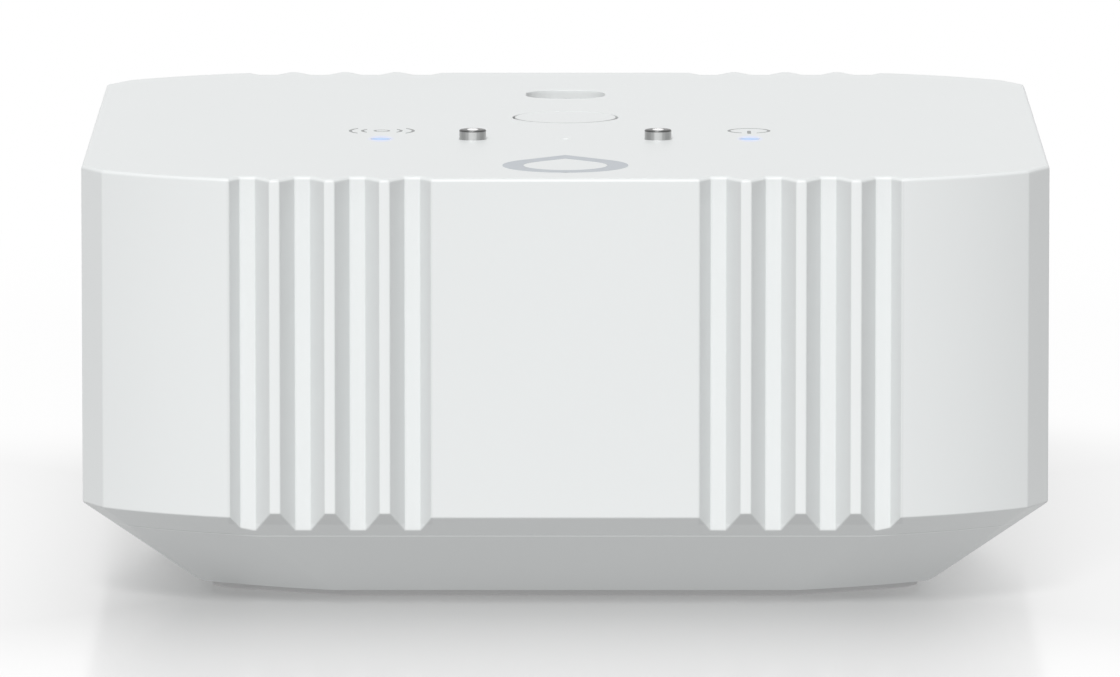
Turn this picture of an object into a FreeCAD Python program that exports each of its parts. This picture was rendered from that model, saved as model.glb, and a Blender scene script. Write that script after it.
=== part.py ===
import FreeCAD, Part
import math
import os
import re

import Sketcher
from FreeCAD import Placement, Rotation, Vector

# An environmental sensor: a square white case with ribbed front and back, tapered underneath.
# Frame: origin at the middle of the foot's underside, +Z up, the ribbed front faces -Y.

doc = FreeCAD.newDocument("environmental_sensor")
sheet = doc.addObject("Spreadsheet::Sheet", "Sizes")

# Driving sizes in millimetres: name, value, what it is
SIZES = [
    ("half_width", 30.0, "middle of the case to each flat side, and to the front and back flats"),
    ("taper_height", 5.55, "height of the sloping underside"),
    ("taper_inset", 7.1, "how far the underside draws in at the flat sides"),
    ("facet_in", 9.7, "where the curved corner leaves the front flat, in from the side flat"),
    ("knee_in", 1.35, "corner knee, in from the side flat"),
    ("knee_back", 4.5, "corner knee, back from the front flat"),
    ("side_back", 7.1, "where the side flat begins, back from the front flat"),
    ("corner_bulge", 0.51, "rise of the curved corner over its chord"),
    ("base_facet_in", 8.3, "as facet_in, at the foot of the taper"),
    ("base_knee_in", 0.65, "as knee_in, at the foot of the taper"),
    ("base_knee_back", 3.5, "as knee_back, at the foot of the taper"),
    ("base_side_back", 4.6, "as side_back, at the foot of the taper"),
    ("base_bulge", 0.15, "as corner_bulge, at the foot of the taper"),
    ("rib_lap", 0.434, "outer end of a rib group beyond the start of the curved corner"),
    ("rib_pitch", 3.385, "groove to groove"),
    ("groove_count", 4, "grooves in a group"),
    ("groove_floor", 0.96, "flat floor of a groove"),
    ("groove_depth", 1.23, "groove floor behind the flat wall"),
    ("groove_slope", 0.55, "sideways run of a groove's flank for each millimetre of depth"),
    ("ridge_proud", 0.4, "ridge tops in front of the flat wall"),
    ("top_round", 0.22, "round on the upper edge"),
    ("side_wall", 2.8, "case wall at the sides"),
    ("top_wall", 2.26, "case wall at the top"),
    ("cavity_cut", 6.1, "corner cut of the room inside"),
    ("seam_drop", 1.3, "seam below the foot of the upright wall"),
    ("floor_wall", 2.0, "floor of the base cover"),
    ("floor_rim", 2.35, "base cover's floor inside, in from its foot's edge"),
    ("mouth_rim", 2.8, "base cover's hollow at the seam, in from the case's room"),
    ("tray_cut", 4.9, "corner cut of the base cover's hollow"),
    ("skirt_gap", 0.15, "base cover's skirt to the case wall"),
    ("skirt_wall", 1.6, "thickness of the skirt"),
    ("skirt_height", 2.6, "skirt above the seam"),
    ("seal_height", 0.9, "height of the seal round the skirt"),
    ("seal_depth", 0.85, "depth of the seal's groove"),
    ("seal_lift", 0.85, "seal above the seam"),
    ("fit_gap", 0.05, "clearance between parts that fit together"),
    ("pad_showing", 0.45, "foot pad below the base cover"),
    ("pad_recess", 0.35, "foot pad inside its recess"),
    ("pad_inset", 0.8, "foot pad in from the edge of the base cover"),
    ("boss_in", 10.2, "case screws in from the case walls, both ways"),
    ("boss_radius", 3.0, "screw boss of the top shell"),
    ("boss_foot", 1.3, "bottom of the bosses above the seam"),
    ("boss_gap", 0.2, "circuit board to the screw bosses"),
    ("pillar_radius", 3.4, "screw pillar of the base cover"),
    ("screw_radius", 1.1, "case screw thread"),
    ("screw_length", 10.0, "case screw under its head"),
    ("screw_head_radius", 2.1, "case screw head"),
    ("screw_head_height", 1.5, "case screw head"),
    ("screw_head_gap", 0.1, "case screw head to the wall of its well"),
    ("head_crown", 0.7, "flat crown of a screw head, as a share of the head's radius"),
    ("head_curve", 0.4, "curve of a screw head, as a share of the head's height"),
    ("screw_seat", 2.75, "head seat above the underside of the base cover"),
    ("post_height", 3.3, "room between the board and the ceiling"),
    ("post_radius", 1.9, "board post"),
    ("post_x", 9.0, "board posts from the middle, sideways"),
    ("post_edge", 2.0, "board posts in from the board's front and back edges"),
    ("board_gap", 2.6, "circuit board to the case walls"),
    ("board_cut", 6.0, "corner cut of the circuit board"),
    ("board_thickness", 1.2, "circuit board"),
    ("small_screw_radius", 0.8, "board screw thread"),
    ("small_screw_length", 3.6, "board screw under its head"),
    ("small_head_radius", 1.4, "board screw head"),
    ("small_head_height", 1.1, "board screw head"),
    ("button_y", 3.73, "push button behind the middle"),
    ("button_radius", 3.25, "push button's face"),
    ("button_gap", 0.13, "ring gap round the button"),
    ("button_flange", 4.3, "radius of the flange that keeps the button in"),
    ("flange_height", 0.6, "button flange"),
    ("stem_radius", 1.2, "button stem"),
    ("button_travel", 0.25, "how far the button goes down"),
    ("switch_side", 4.5, "switch body, square"),
    ("switch_height", 1.4, "switch body"),
    ("plunger_radius", 0.9, "switch plunger"),
    ("plunger_rise", 0.4, "switch plunger above its body"),
    ("plunger_length", 1.0, "switch plunger"),
    ("port_in", 13.0, "sensing port in from the back flat"),
    ("port_half", 2.55, "sensing port, middle to each side of its square hole"),
    ("port_corner", 2.0, "round corners of the port"),
    ("port_bevel", 0.06, "bevel at the port's mouth"),
    ("membrane_radius", 3.6, "vent membrane"),
    ("membrane_thickness", 0.3, "vent membrane"),
    ("vent_seal_wall", 1.0, "foam ring between the membrane and the board"),
    ("air_chip_side", 2.5, "humidity and temperature chip, square"),
    ("air_chip_height", 0.9, "humidity and temperature chip"),
    ("pin_x", 5.84, "contact pins from the middle, sideways"),
    ("pin_y", 8.46, "contact pins in front of the middle"),
    ("pin_radius", 0.85, "contact pin"),
    ("pin_rise", 0.6, "contact pin above the top face"),
    ("pin_bevel", 0.1, "bevel on the contact pin"),
    ("pin_flange", 1.5, "radius of the pin's flange and washer"),
    ("pin_flange_height", 0.4, "pin flange"),
    ("washer_height", 0.3, "rubber washer over the flange"),
    ("tail_radius", 0.5, "pin's tail into the board"),
    ("tail_gap", 0.1, "end of the tail above the board's underside"),
    ("light_x", 11.63, "status lights from the middle, sideways"),
    ("light_y", 8.4, "status lights in front of the middle"),
    ("light_radius", 0.585, "light pipe at the top face"),
    ("light_flange", 1.3, "light pipe flange"),
    ("light_flange_height", 0.5, "light pipe flange"),
    ("light_stem", 0.9, "light pipe under the flange"),
    ("light_gap", 0.1, "light pipe over its light emitting chip"),
    ("led_length", 1.6, "light emitting chip"),
    ("led_width", 0.8, "light emitting chip"),
    ("led_height", 0.7, "light emitting chip"),
    ("dimple_radius", 0.4, "shallow mark in the top face, level with the lights"),
    ("dimple_depth", 0.1, "shallow mark in the top face"),
    ("shield_x", 13.0, "radio shield left of the middle"),
    ("shield_y", 4.5, "radio shield behind the middle"),
    ("shield_length", 12.0, "radio shield, sideways"),
    ("shield_width", 11.0, "radio shield, front to back"),
    ("shield_height", 2.2, "radio shield"),
    ("shield_wall", 0.25, "sheet of the radio shield"),
    ("controller_x", 12.0, "controller chip right of the middle"),
    ("controller_y", 4.5, "controller chip behind the middle"),
    ("controller_side", 7.0, "controller chip, square"),
    ("controller_height", 1.0, "controller chip"),
    ("chip_count", 4, "small chips in a row"),
    ("chip_x", 6.5, "first small chip right of the middle"),
    ("chip_boss_gap", 2.5, "row of small chips in front of the screw bosses"),
    ("chip_pitch", 2.6, "small chip to small chip"),
    ("chip_length", 1.6, "small chip"),
    ("chip_width", 0.8, "small chip"),
    ("chip_height", 0.6, "small chip"),
    ("antenna_edge", 6.6, "antenna behind the board's front edge"),
    ("antenna_length", 22.0, "antenna strip"),
    ("antenna_height", 2.6, "antenna strip"),
    ("antenna_sheet", 0.4, "antenna strip"),
    ("antenna_foot", 1.6, "solder foot of the antenna"),
    ("capacitor_y", 16.0, "reservoir capacitor in front of the middle"),
    ("capacitor_radius", 3.15, "reservoir capacitor"),
    ("capacitor_height", 7.0, "reservoir capacitor under the board"),
    ("capacitor_groove", 0.25, "depth of the groove round its can, and bevel at its end"),
    ("capacitor_groove_half", 0.35, "half width of the groove"),
    ("capacitor_neck", 1.2, "middle of the groove under the board"),
    ("cell_radius", 8.5, "lithium cell"),
    ("cell_length", 33.4, "lithium cell without its raised terminal"),
    ("can_bevel", 0.55, "rolled ends of the cell's can"),
    ("terminal_radius", 3.0, "raised terminal"),
    ("terminal_rise", 1.1, "raised terminal"),
    ("terminal_bevel", 0.33, "raised terminal"),
    ("cell_gap", 0.5, "cell under the board"),
    ("cell_floor_gap", 0.35, "cell over the floor"),
    ("cell_side_gap", 0.2, "cell to the holder's side walls"),
    ("cell_end_room", 1.75, "room at each end of the cell for its contact"),
    ("holder_wall", 1.5, "battery holder"),
    ("holder_height", 12.0, "battery holder under the board"),
    ("contact_width", 6.0, "battery contact strip"),
    ("contact_sheet", 0.4, "battery contact strip"),
    ("contact_reach", 5.0, "half height of the contact's bow"),
    ("saddle_x", 10.0, "battery saddles from the middle"),
    ("saddle_thickness", 1.6, "battery saddle"),
    ("saddle_width", 14.0, "battery saddle, front to back"),
    ("saddle_grip", 2.2, "battery saddle up the side of the cell"),
]
for row, (alias, value, note) in enumerate(SIZES, start=1):
    sheet.set(f"A{row}", note)
    sheet.set(f"B{row}", str(value))
    sheet.setAlias(f"B{row}", alias)
doc.recompute()


# Levels, worked out from the driving sizes
BASE = "pad_showing"
SEAM = "(pad_showing + taper_height - seam_drop)"
BOSS_FOOT = f"({SEAM} + boss_foot)"
FLOOR = "(pad_showing + floor_wall)"
CELL_Z = f"({FLOOR} + cell_floor_gap + cell_radius)"
UNDER = f"({CELL_Z} + cell_radius + cell_gap)"
BOARD = f"({UNDER} + board_thickness)"
CEILING = f"({BOARD} + post_height)"
TOP = f"({CEILING} + top_wall)"

# Half widths and places, worked out the same way
CAVITY = "(half_width - side_wall)"
BOSS_PLACE = f"({CAVITY} - boss_in)"
BOARD_HALF = f"({CAVITY} - board_gap)"
POST_Y = f"({BOARD_HALF} - post_edge)"
ANTENNA_Y = f"-({BOARD_HALF} - antenna_edge)"
FOOT_HALF = "(half_width - taper_inset)"
PORT_Y = "(half_width - port_in)"
CHIP_Y = f"({BOSS_PLACE} - boss_radius - chip_boss_gap)"
GROUP_HALF = "((groove_count - 1) / 2 * rib_pitch + groove_floor / 2 + groove_slope * groove_depth)"
RIB_MIDDLE = f"(half_width - facet_in + rib_lap - {GROUP_HALF})"
HOLDER_HALF = "((cell_length + terminal_rise) / 2 + cell_end_room)"

# How far a cutting body runs past the faces that it cuts
OVERRUN = "1"

# Turns an upright body to lie along +X
ALONG_X = Rotation(Vector(0, 1, 0), 90)


def bound(text):
    """Turn size names in a formula into references to the sheet."""
    return re.sub(r"[a-z_]+", r"Sizes.\g<0>", text)


def number(text):
    """The present value of a formula."""
    return float(sheet.evalExpression(bound(text)))


def bind(thing, **formulas):
    for name, text in formulas.items():
        thing.setExpression(name, bound(text))


def place(thing, x="0", y="0", z="0"):
    for axis, text in zip("xyz", (x, y, z)):
        thing.setExpression(f"Placement.Base.{axis}", bound(text))


def minus(text):
    """The opposite of a formula, without a second minus."""
    if text == "0":
        return text
    return text[2:-1] if text.startswith("-(") else f"-({text})"


def pin_down(sketch, corner, x, y):
    """Hold one corner of a sketch at a formula's place."""
    for kind, text, axis in (("DistanceX", x, -2), ("DistanceY", y, -1)):
        if text == "0":
            sketch.addConstraint(Sketcher.Constraint("PointOnObject", corner, 1, axis))
            continue
        index = sketch.addConstraint(Sketcher.Constraint(kind, -1, 1, corner, 1, number(text)))
        sketch.setExpression(f"Constraints[{index}]", bound(text))


def arc_between(start, end, radius):
    """An arc that runs counter-clockwise, its middle on the left."""
    half = (end - start) * 0.5
    left = Vector(-half.y, half.x, 0).normalize()
    middle = start + half + left * math.sqrt(radius ** 2 - half.Length ** 2)
    first = math.atan2(start.y - middle.y, start.x - middle.x)
    last = math.atan2(end.y - middle.y, end.x - middle.x)
    return Part.ArcOfCircle(Part.Circle(middle, Vector(0, 0, 1), radius), first, last)


def draw(sketch, points, arcs=None):
    """Draw a closed outline counter-clockwise; arcs maps a side to its radius formula."""
    arcs = arcs or {}
    corners = [Vector(number(x), number(y), 0) for x, y in points]
    count = len(corners)
    for side in range(count):
        start, end = corners[side], corners[(side + 1) % count]
        if side in arcs:
            sketch.addGeometry(arc_between(start, end, number(arcs[side])))
        else:
            sketch.addGeometry(Part.LineSegment(start, end))
    for side in range(count):
        sketch.addConstraint(Sketcher.Constraint("Coincident", side, 2, (side + 1) % count, 1))
    for side, (x, y) in enumerate(points):
        pin_down(sketch, side, x, y)
    for side, text in arcs.items():
        index = sketch.addConstraint(Sketcher.Constraint("Radius", side, number(text)))
        sketch.setExpression(f"Constraints[{index}]", bound(text))


def new_body(name):
    body = doc.addObject("PartDesign::Body", name)
    body.Label = name
    return body


def origin_part(body, role):
    return [part for part in body.Origin.OriginFeatures if part.Role == role][0]


def sketch_on(body, role, name):
    sketch = body.newObject("Sketcher::SketchObject", name)
    sketch.AttachmentSupport = [(origin_part(body, role), "")]
    sketch.MapMode = "FlatFace"
    return sketch


def prism(name, points, base, height, arcs=None):
    """An upright body with a drawn outline."""
    body = new_body(name)
    sketch = sketch_on(body, "XY_Plane", name + "_outline")
    draw(sketch, points, arcs)
    pad = body.newObject("PartDesign::Pad", name + "_pad")
    pad.Profile = sketch
    bind(pad, Length=height)
    place(body, z=base)
    return body


def turned(name, profile, x="0", y="0", base="0"):
    """A round body, turned about an upright axis from (radius, height) points."""
    body = new_body(name)
    sketch = sketch_on(body, "XZ_Plane", name + "_profile")
    draw(sketch, profile)
    solid = body.newObject("PartDesign::Revolution", name + "_turn")
    solid.Profile = sketch
    solid.ReferenceAxis = (sketch, ["V_Axis"])
    solid.Angle = 360
    place(body, x, y, base)
    return body


def box(name, length, width, height, x="0", y="0", base="0"):
    """A block, centred on x and y, standing on base."""
    block = doc.addObject("Part::Box", name)
    bind(block, Length=length, Width=width, Height=height)
    place(block, f"{x} - ({length}) / 2", f"{y} - ({width}) / 2", base)
    return block


def cylinder(name, radius, height, x="0", y="0", base="0"):
    rod = doc.addObject("Part::Cylinder", name)
    bind(rod, Radius=radius, Height=height)
    place(rod, x, y, base)
    return rod


def join(name, parts):
    joined = doc.addObject("Part::MultiFuse", name)
    joined.Shapes = parts
    joined.Refine = True
    return joined


def keep_common(name, parts):
    common = doc.addObject("Part::MultiCommon", name)
    common.Shapes = parts
    return common


def cut_away(name, base, tools):
    """The base less its tools."""
    result = doc.addObject("Part::Cut", name)
    result.Base = base
    result.Tool = tools[0] if len(tools) == 1 else join(name + "_tools", tools)
    return result


def group(name, parts):
    """Like pieces that stay separate solids in one node."""
    result = doc.addObject("Part::Compound", name)
    result.Links = parts
    return result


def octagon(half, cut):
    """A square with cut corners, counter-clockwise."""
    near = f"({half} - {cut})"
    quarter = [(near, minus(half)), (half, minus(near))]
    right = quarter + [(x, minus(y)) for x, y in reversed(quarter)]
    return right + [(minus(x), y) for x, y in reversed(right)]


def case_outline(half, facet_in, knee_in, knee_back, side_back):
    """The case's plan: four corners, each a curved facet and a narrow flat one."""
    corner = [
        (f"({half} - {facet_in})", minus(half)),
        (f"({half} - {knee_in})", minus(f"{half} - {knee_back}")),
        (half, minus(f"{half} - {side_back}")),
    ]
    right = corner + [(x, minus(y)) for x, y in reversed(corner)]
    return right + [(minus(x), y) for x, y in reversed(right)]


def curved_sides(points, bulge):
    """The radius of each curved facet, from its chord and its rise."""
    radii = {}
    for side in (0, 4, 6, 10):
        (x, y), (far_x, far_y) = points[side], points[side + 1]
        chord = f"((({far_x}) - ({x}))^2 + (({far_y}) - ({y}))^2)"
        radii[side] = f"({chord} / (8 * {bulge}) + {bulge} / 2)"
    return radii


def four_places(x, y):
    return [(x, y), (minus(x), y), (minus(x), minus(y)), (x, minus(y))]


def ribbed_wall():
    """The upright wall with its rib groups, four grooves and three ridges each."""
    points = case_outline("half_width", "facet_in", "knee_in", "knee_back", "side_back")
    height = f"({TOP} - {BASE})"
    body = prism("ribbed_wall", points, BASE, height, curved_sides(points, "corner_bulge"))

    first = f"({RIB_MIDDLE} - (groove_count - 1) / 2 * rib_pitch)"
    last = f"({RIB_MIDDLE} + (groove_count - 1) / 2 * rib_pitch)"
    band = sketch_on(body, "XY_Plane", "ridge_band")
    draw(band, [
        (first, "-half_width - ridge_proud"),
        (last, "-half_width - ridge_proud"),
        (last, "-half_width + ridge_proud"),
        (first, "-half_width + ridge_proud"),
    ])
    ridges = body.newObject("PartDesign::Pad", "ridges")
    ridges.Profile = band
    bind(ridges, Length=height)
    across = mirror_about("YZ_Plane", body, "ridges_across")
    through = mirror_about("XZ_Plane", body, "ridges_through")
    pattern_of(body, "all_ridges", ridges, [across, through])

    outside = "half_width + 2 * ridge_proud"
    floor_level = "half_width - groove_depth"
    run = "groove_slope * (groove_depth + 2 * ridge_proud)"
    groove = sketch_on(body, "XY_Plane", "groove_section")
    draw(groove, [
        (f"{first} - groove_floor / 2 - {run}", minus(outside)),
        (f"{first} + groove_floor / 2 + {run}", minus(outside)),
        (f"{first} + groove_floor / 2", minus(floor_level)),
        (f"{first} - groove_floor / 2", minus(floor_level)),
    ])
    pocket = body.newObject("PartDesign::Pocket", "groove")
    pocket.Profile = groove
    pocket.Type = "ThroughAll"
    pocket.Midplane = True
    row_of = body.newObject("PartDesign::LinearPattern", "groove_row")
    row_of.Direction = (groove, ["H_Axis"])
    bind(row_of, Length="(groove_count - 1) * rib_pitch", Occurrences="groove_count")
    across = mirror_about("YZ_Plane", body, "grooves_across")
    through = mirror_about("XZ_Plane", body, "grooves_through")
    pattern_of(body, "all_grooves", pocket, [row_of, across, through])
    return body


def mirror_about(role, body, name):
    mirror = body.newObject("PartDesign::Mirrored", name)
    mirror.MirrorPlane = (origin_part(body, role), [""])
    return mirror


def pattern_of(body, name, feature, steps):
    """Repeat a feature by a row, a mirror or both, and make that the body's tip."""
    pattern = body.newObject("PartDesign::MultiTransform", name)
    pattern.Originals = [feature]
    pattern.Transformations = steps
    body.Tip = pattern


def taper_envelope():
    """A ruled solid that carries the sloping underside out past the wall."""
    share = f"(({TOP} - {BASE}) / taper_height)"
    names = [
        ("base_facet_in", "facet_in"),
        ("base_knee_in", "knee_in"),
        ("base_knee_back", "knee_back"),
        ("base_side_back", "side_back"),
        ("base_bulge", "corner_bulge"),
    ]
    high_half = f"({FOOT_HALF} + taper_inset * {share})"
    low = [low for low, high in names]
    high = [f"({low} + ({high} - {low}) * {share})" for low, high in names]
    sections = []
    for name, half, sizes, level in (
        ("taper_foot", FOOT_HALF, low, BASE),
        ("taper_far", high_half, high, TOP),
    ):
        sketch = doc.addObject("Sketcher::SketchObject", name)
        points = case_outline(half, *sizes[:4])
        draw(sketch, points, curved_sides(points, sizes[4]))
        place(sketch, z=level)
        sections.append(sketch)
    loft = doc.addObject("Part::Loft", "taper_envelope")
    loft.Sections = sections
    loft.Solid = True
    loft.Ruled = True
    return loft


def outer_form():
    """The closed outer form of the whole case, its upper edge rounded."""
    rough = keep_common("rough_form", [ribbed_wall(), taper_envelope()])
    doc.recompute()
    top = number(TOP)
    radius = number("top_round")
    edges = []
    for index, edge in enumerate(rough.Shape.Edges, start=1):
        if all(abs(vertex.Z - top) < 1e-4 for vertex in edge.Vertexes):
            edges.append((index, radius, radius))
    form = doc.addObject("Part::Fillet", "outer_form")
    form.Base = rough
    form.Edges = edges
    return form


def slab(name, low, high):
    """A block wider than the case, from one level to another."""
    wide = f"(2 * (half_width + ridge_proud + {OVERRUN}))"
    return box(name, wide, wide, f"{high} - {low}", base=low)


def top_shell(form):
    """The case: walls, ceiling, bosses for the case screws and posts for the board."""
    upper = keep_common("upper_form", [form, slab("above_seam", SEAM, f"({TOP} + {OVERRUN})")])
    below = f"({SEAM} - {OVERRUN})"
    room = prism("room", octagon(CAVITY, "cavity_cut"), below, f"{CEILING} - {below}")
    hollow = cut_away("hollow_case", upper, [room])
    supports = []
    boss_height = f"{CEILING} - {BOSS_FOOT}"
    for index, (x, y) in enumerate(four_places(BOSS_PLACE, BOSS_PLACE)):
        supports.append(cylinder(f"boss_{index}", "boss_radius", boss_height, x, y, BOSS_FOOT))
    for index, (x, y) in enumerate(four_places("post_x", POST_Y)):
        supports.append(cylinder(f"post_{index}", "post_radius", "post_height", x, y, BOARD))
    solid = join("case_with_bosses", [hollow] + supports)

    holes = []
    screw_top = f"(screw_length - ({BOSS_FOOT} - {BASE} - screw_seat) + fit_gap)"
    for index, (x, y) in enumerate(four_places(BOSS_PLACE, BOSS_PLACE)):
        holes.append(cylinder(f"pilot_{index}", "screw_radius + fit_gap", screw_top, x, y, BOSS_FOOT))
    small_top = "(small_screw_length - board_thickness + fit_gap)"
    for index, (x, y) in enumerate(four_places("post_x", POST_Y)):
        holes.append(cylinder(f"small_pilot_{index}", "small_screw_radius + fit_gap", small_top, x, y, BOARD))
    through = f"(top_wall + 2 * {OVERRUN})"
    under = f"({CEILING} - {OVERRUN})"
    holes.append(cylinder("button_hole", "button_radius + button_gap", through, y="button_y", base=under))
    for side, sign in (("left", "-"), ("right", "")):
        holes.append(cylinder(
            f"pin_hole_{side}", "pin_radius + fit_gap", through, sign + "pin_x", "-pin_y", under
        ))
        holes.append(cylinder(
            f"light_hole_{side}", "light_radius + fit_gap", through, sign + "light_x", "-light_y", under
        ))
    holes.append(cylinder("dimple", "dimple_radius", OVERRUN, y="-light_y", base=f"{TOP} - dimple_depth"))
    holes += port_cutters(under, through)
    return cut_away("top_shell", solid, holes)


def port_cutters(base, height):
    """The sensing port's square hole with round corners, and the bevel at its mouth."""
    round_sides = (0, 2, 4, 6)
    hole = prism(
        "port_hole", octagon("port_half", "port_corner"), base, height,
        dict.fromkeys(round_sides, "port_corner"),
    )
    place(hole, y=PORT_Y, z=base)
    sections = []
    for name, wider, level in (
        ("port_bevel_low", "0", f"({TOP} - port_bevel)"),
        ("port_bevel_high", f"(port_bevel + {OVERRUN})", f"({TOP} + {OVERRUN})"),
    ):
        sketch = doc.addObject("Sketcher::SketchObject", name)
        corner = f"(port_corner + {wider})"
        draw(sketch, octagon(f"(port_half + {wider})", corner), dict.fromkeys(round_sides, corner))
        place(sketch, y=PORT_Y, z=level)
        sections.append(sketch)
    mouth = doc.addObject("Part::Loft", "port_mouth")
    mouth.Sections = sections
    mouth.Solid = True
    mouth.Ruled = True
    return [hole, mouth]


def base_cover(form):
    """The screwed cover: tapered tray, skirt with a seal groove, pillars and battery saddles."""
    lower = keep_common("lower_form", [form, slab("below_seam", f"({BASE} - {OVERRUN})", SEAM)])
    tray = doc.addObject("Part::Loft", "tray")
    sections = []
    for name, half, level in (
        ("tray_floor", f"({FOOT_HALF} - floor_rim)", FLOOR),
        ("tray_mouth", f"({CAVITY} - mouth_rim)", SEAM),
    ):
        sketch = doc.addObject("Sketcher::SketchObject", name)
        draw(sketch, octagon(half, "tray_cut"))
        place(sketch, z=level)
        sections.append(sketch)
    tray.Sections = sections
    tray.Solid = True
    tray.Ruled = True
    dish = cut_away("dish", lower, [tray])

    skirt_half = f"({CAVITY} - skirt_gap)"
    outer = prism("skirt_outer", octagon(skirt_half, "cavity_cut"), SEAM, "skirt_height")
    skirt_inside = f"({skirt_half} - skirt_wall)"
    inner = prism("skirt_inner", octagon(skirt_inside, "cavity_cut"), SEAM, "skirt_height")
    skirt = cut_away("skirt", outer, [inner])
    pillars = []
    for index, (x, y) in enumerate(four_places(BOSS_PLACE, BOSS_PLACE)):
        pillars.append(cylinder(f"pillar_{index}", "pillar_radius", f"{BOSS_FOOT} - {FLOOR}", x, y, FLOOR))
    saddle_height = f"({CELL_Z} - cell_radius + saddle_grip - {FLOOR})"
    saddle = ("saddle_thickness", "saddle_width", saddle_height)
    saddles = [
        box(f"saddle_{side}", *saddle, sign + "saddle_x", "0", FLOOR)
        for side, sign in (("left", "-"), ("right", ""))
    ]
    solid = join("cover_solid", [dish, skirt] + pillars + saddles)

    groove_half = f"({skirt_half} - seal_depth)"
    groove_low = f"{SEAM} + seal_lift"
    groove_height = "seal_height + fit_gap"
    band = prism("seal_band", octagon(CAVITY, "cavity_cut"), groove_low, groove_height)
    core = prism("seal_core", octagon(groove_half, "cavity_cut"), groove_low, groove_height)
    cuts = [cut_away("seal_groove", band, [core])]
    reach = "(saddle_x + saddle_thickness)"
    cell_room = cylinder("cell_room", "cell_radius + fit_gap", f"2 * {reach}", minus(reach), "0", CELL_Z)
    cell_room.Placement = Placement(cell_room.Placement.Base, ALONG_X)
    cuts.append(cell_room)
    for index, (x, y) in enumerate(four_places(BOSS_PLACE, BOSS_PLACE)):
        cuts.append(cylinder(f"screw_way_{index}", "screw_radius + fit_gap", BOSS_FOOT, x, y))
        cuts.append(cylinder(
            f"head_well_{index}", "screw_head_radius + screw_head_gap", "pad_showing + screw_seat", x, y
        ))
    cuts.append(prism("pad_room", foot_outline("pad_inset"), "0", "pad_showing + pad_recess"))
    return cut_away("base_cover", solid, cuts)


def foot_outline(inset):
    """The base cover's own outline, drawn in by an inset."""
    half = f"({FOOT_HALF} - {inset})"
    return case_outline(half, "base_facet_in", "base_knee_in", "base_knee_back", "base_side_back")


def foot_pad():
    """The rubber pad in the base cover's recess, over the screw heads."""
    return prism("foot_pad", foot_outline("(pad_inset + fit_gap)"), "0", "pad_showing + pad_recess")


def case_gasket():
    """The rubber seal in the skirt's groove."""
    outer = prism("gasket_outer", octagon(CAVITY, "cavity_cut"), f"{SEAM} + seal_lift", "seal_height")
    inner_half = f"({CAVITY} - skirt_gap - seal_depth)"
    inner = prism("gasket_inner", octagon(inner_half, "cavity_cut"), f"{SEAM} + seal_lift", "seal_height")
    return cut_away("case_gasket", outer, [inner])


def screw(name, radius, length, head_radius, head_height, x, y, base):
    """A pan-head screw, head down."""
    return turned(name, [
        ("0", "0"),
        (f"{head_radius} * head_crown", "0"),
        (head_radius, f"{head_height} * head_curve"),
        (head_radius, head_height),
        (radius, head_height),
        (radius, f"{head_height} + {length} - {radius}"),
        ("0", f"{head_height} + {length}"),
    ], x, y, base)


def case_screws():
    """Four screws from the head wells of the base cover up into the bosses."""
    base = f"({BASE} + screw_seat - screw_head_height)"
    return group("case_screws", [
        screw(f"case_screw_{index}", "screw_radius", "screw_length", "screw_head_radius",
              "screw_head_height", x, y, base)
        for index, (x, y) in enumerate(four_places(BOSS_PLACE, BOSS_PLACE))
    ])


def board_screws():
    """Four screws through the board into the posts of the ceiling."""
    base = f"({UNDER} - small_head_height)"
    return group("board_screws", [
        screw(f"board_screw_{index}", "small_screw_radius", "small_screw_length", "small_head_radius",
              "small_head_height", x, y, base)
        for index, (x, y) in enumerate(four_places("post_x", POST_Y))
    ])


def main_board():
    """The circuit board, with holes for the bosses, its screws and the pins' tails."""
    blank = prism("board_blank", octagon(BOARD_HALF, "board_cut"), UNDER, "board_thickness")
    holes = []
    for index, (x, y) in enumerate(four_places(BOSS_PLACE, BOSS_PLACE)):
        holes.append(cylinder(f"boss_way_{index}", "boss_radius + boss_gap", "board_thickness", x, y, UNDER))
    for index, (x, y) in enumerate(four_places("post_x", POST_Y)):
        holes.append(cylinder(
            f"board_hole_{index}", "small_screw_radius + fit_gap", "board_thickness", x, y, UNDER
        ))
    for side, sign in (("left", "-"), ("right", "")):
        holes.append(cylinder(
            f"tail_hole_{side}", "tail_radius + fit_gap", "board_thickness", sign + "pin_x", "-pin_y", UNDER
        ))
    return cut_away("main_board", blank, holes)


def button_cap():
    """The push button: face, flange that stops it under the ceiling, and stem."""
    plunger_top = f"({BOARD} + switch_height + plunger_rise)"
    flange_top = f"({CEILING} - fit_gap - {plunger_top})"
    face = f"({TOP} - {plunger_top})"
    return turned("button_cap", [
        ("0", "0"),
        ("stem_radius", "0"),
        ("stem_radius", f"{flange_top} - flange_height"),
        ("button_flange", f"{flange_top} - flange_height"),
        ("button_flange", flange_top),
        ("button_radius", flange_top),
        ("button_radius", f"{face} - button_gap"),
        ("button_radius - button_gap", face),
        ("0", face),
    ], y="button_y", base=plunger_top)


def switch_body():
    """The switch under the button, with a well for its plunger."""
    block = box("switch_block", "switch_side", "switch_side", "switch_height", "0", "button_y", BOARD)
    well_depth = "(plunger_length - plunger_rise + button_travel + fit_gap)"
    well = cylinder(
        "plunger_well", "plunger_radius + fit_gap", well_depth, y="button_y",
        base=f"{BOARD} + switch_height - {well_depth}",
    )
    return cut_away("switch_body", block, [well])


def switch_plunger():
    """The switch's plunger, which the button's stem rests on."""
    base = f"({BOARD} + switch_height + plunger_rise - plunger_length)"
    return cylinder("switch_plunger", "plunger_radius", "plunger_length", y="button_y", base=base)


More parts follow.
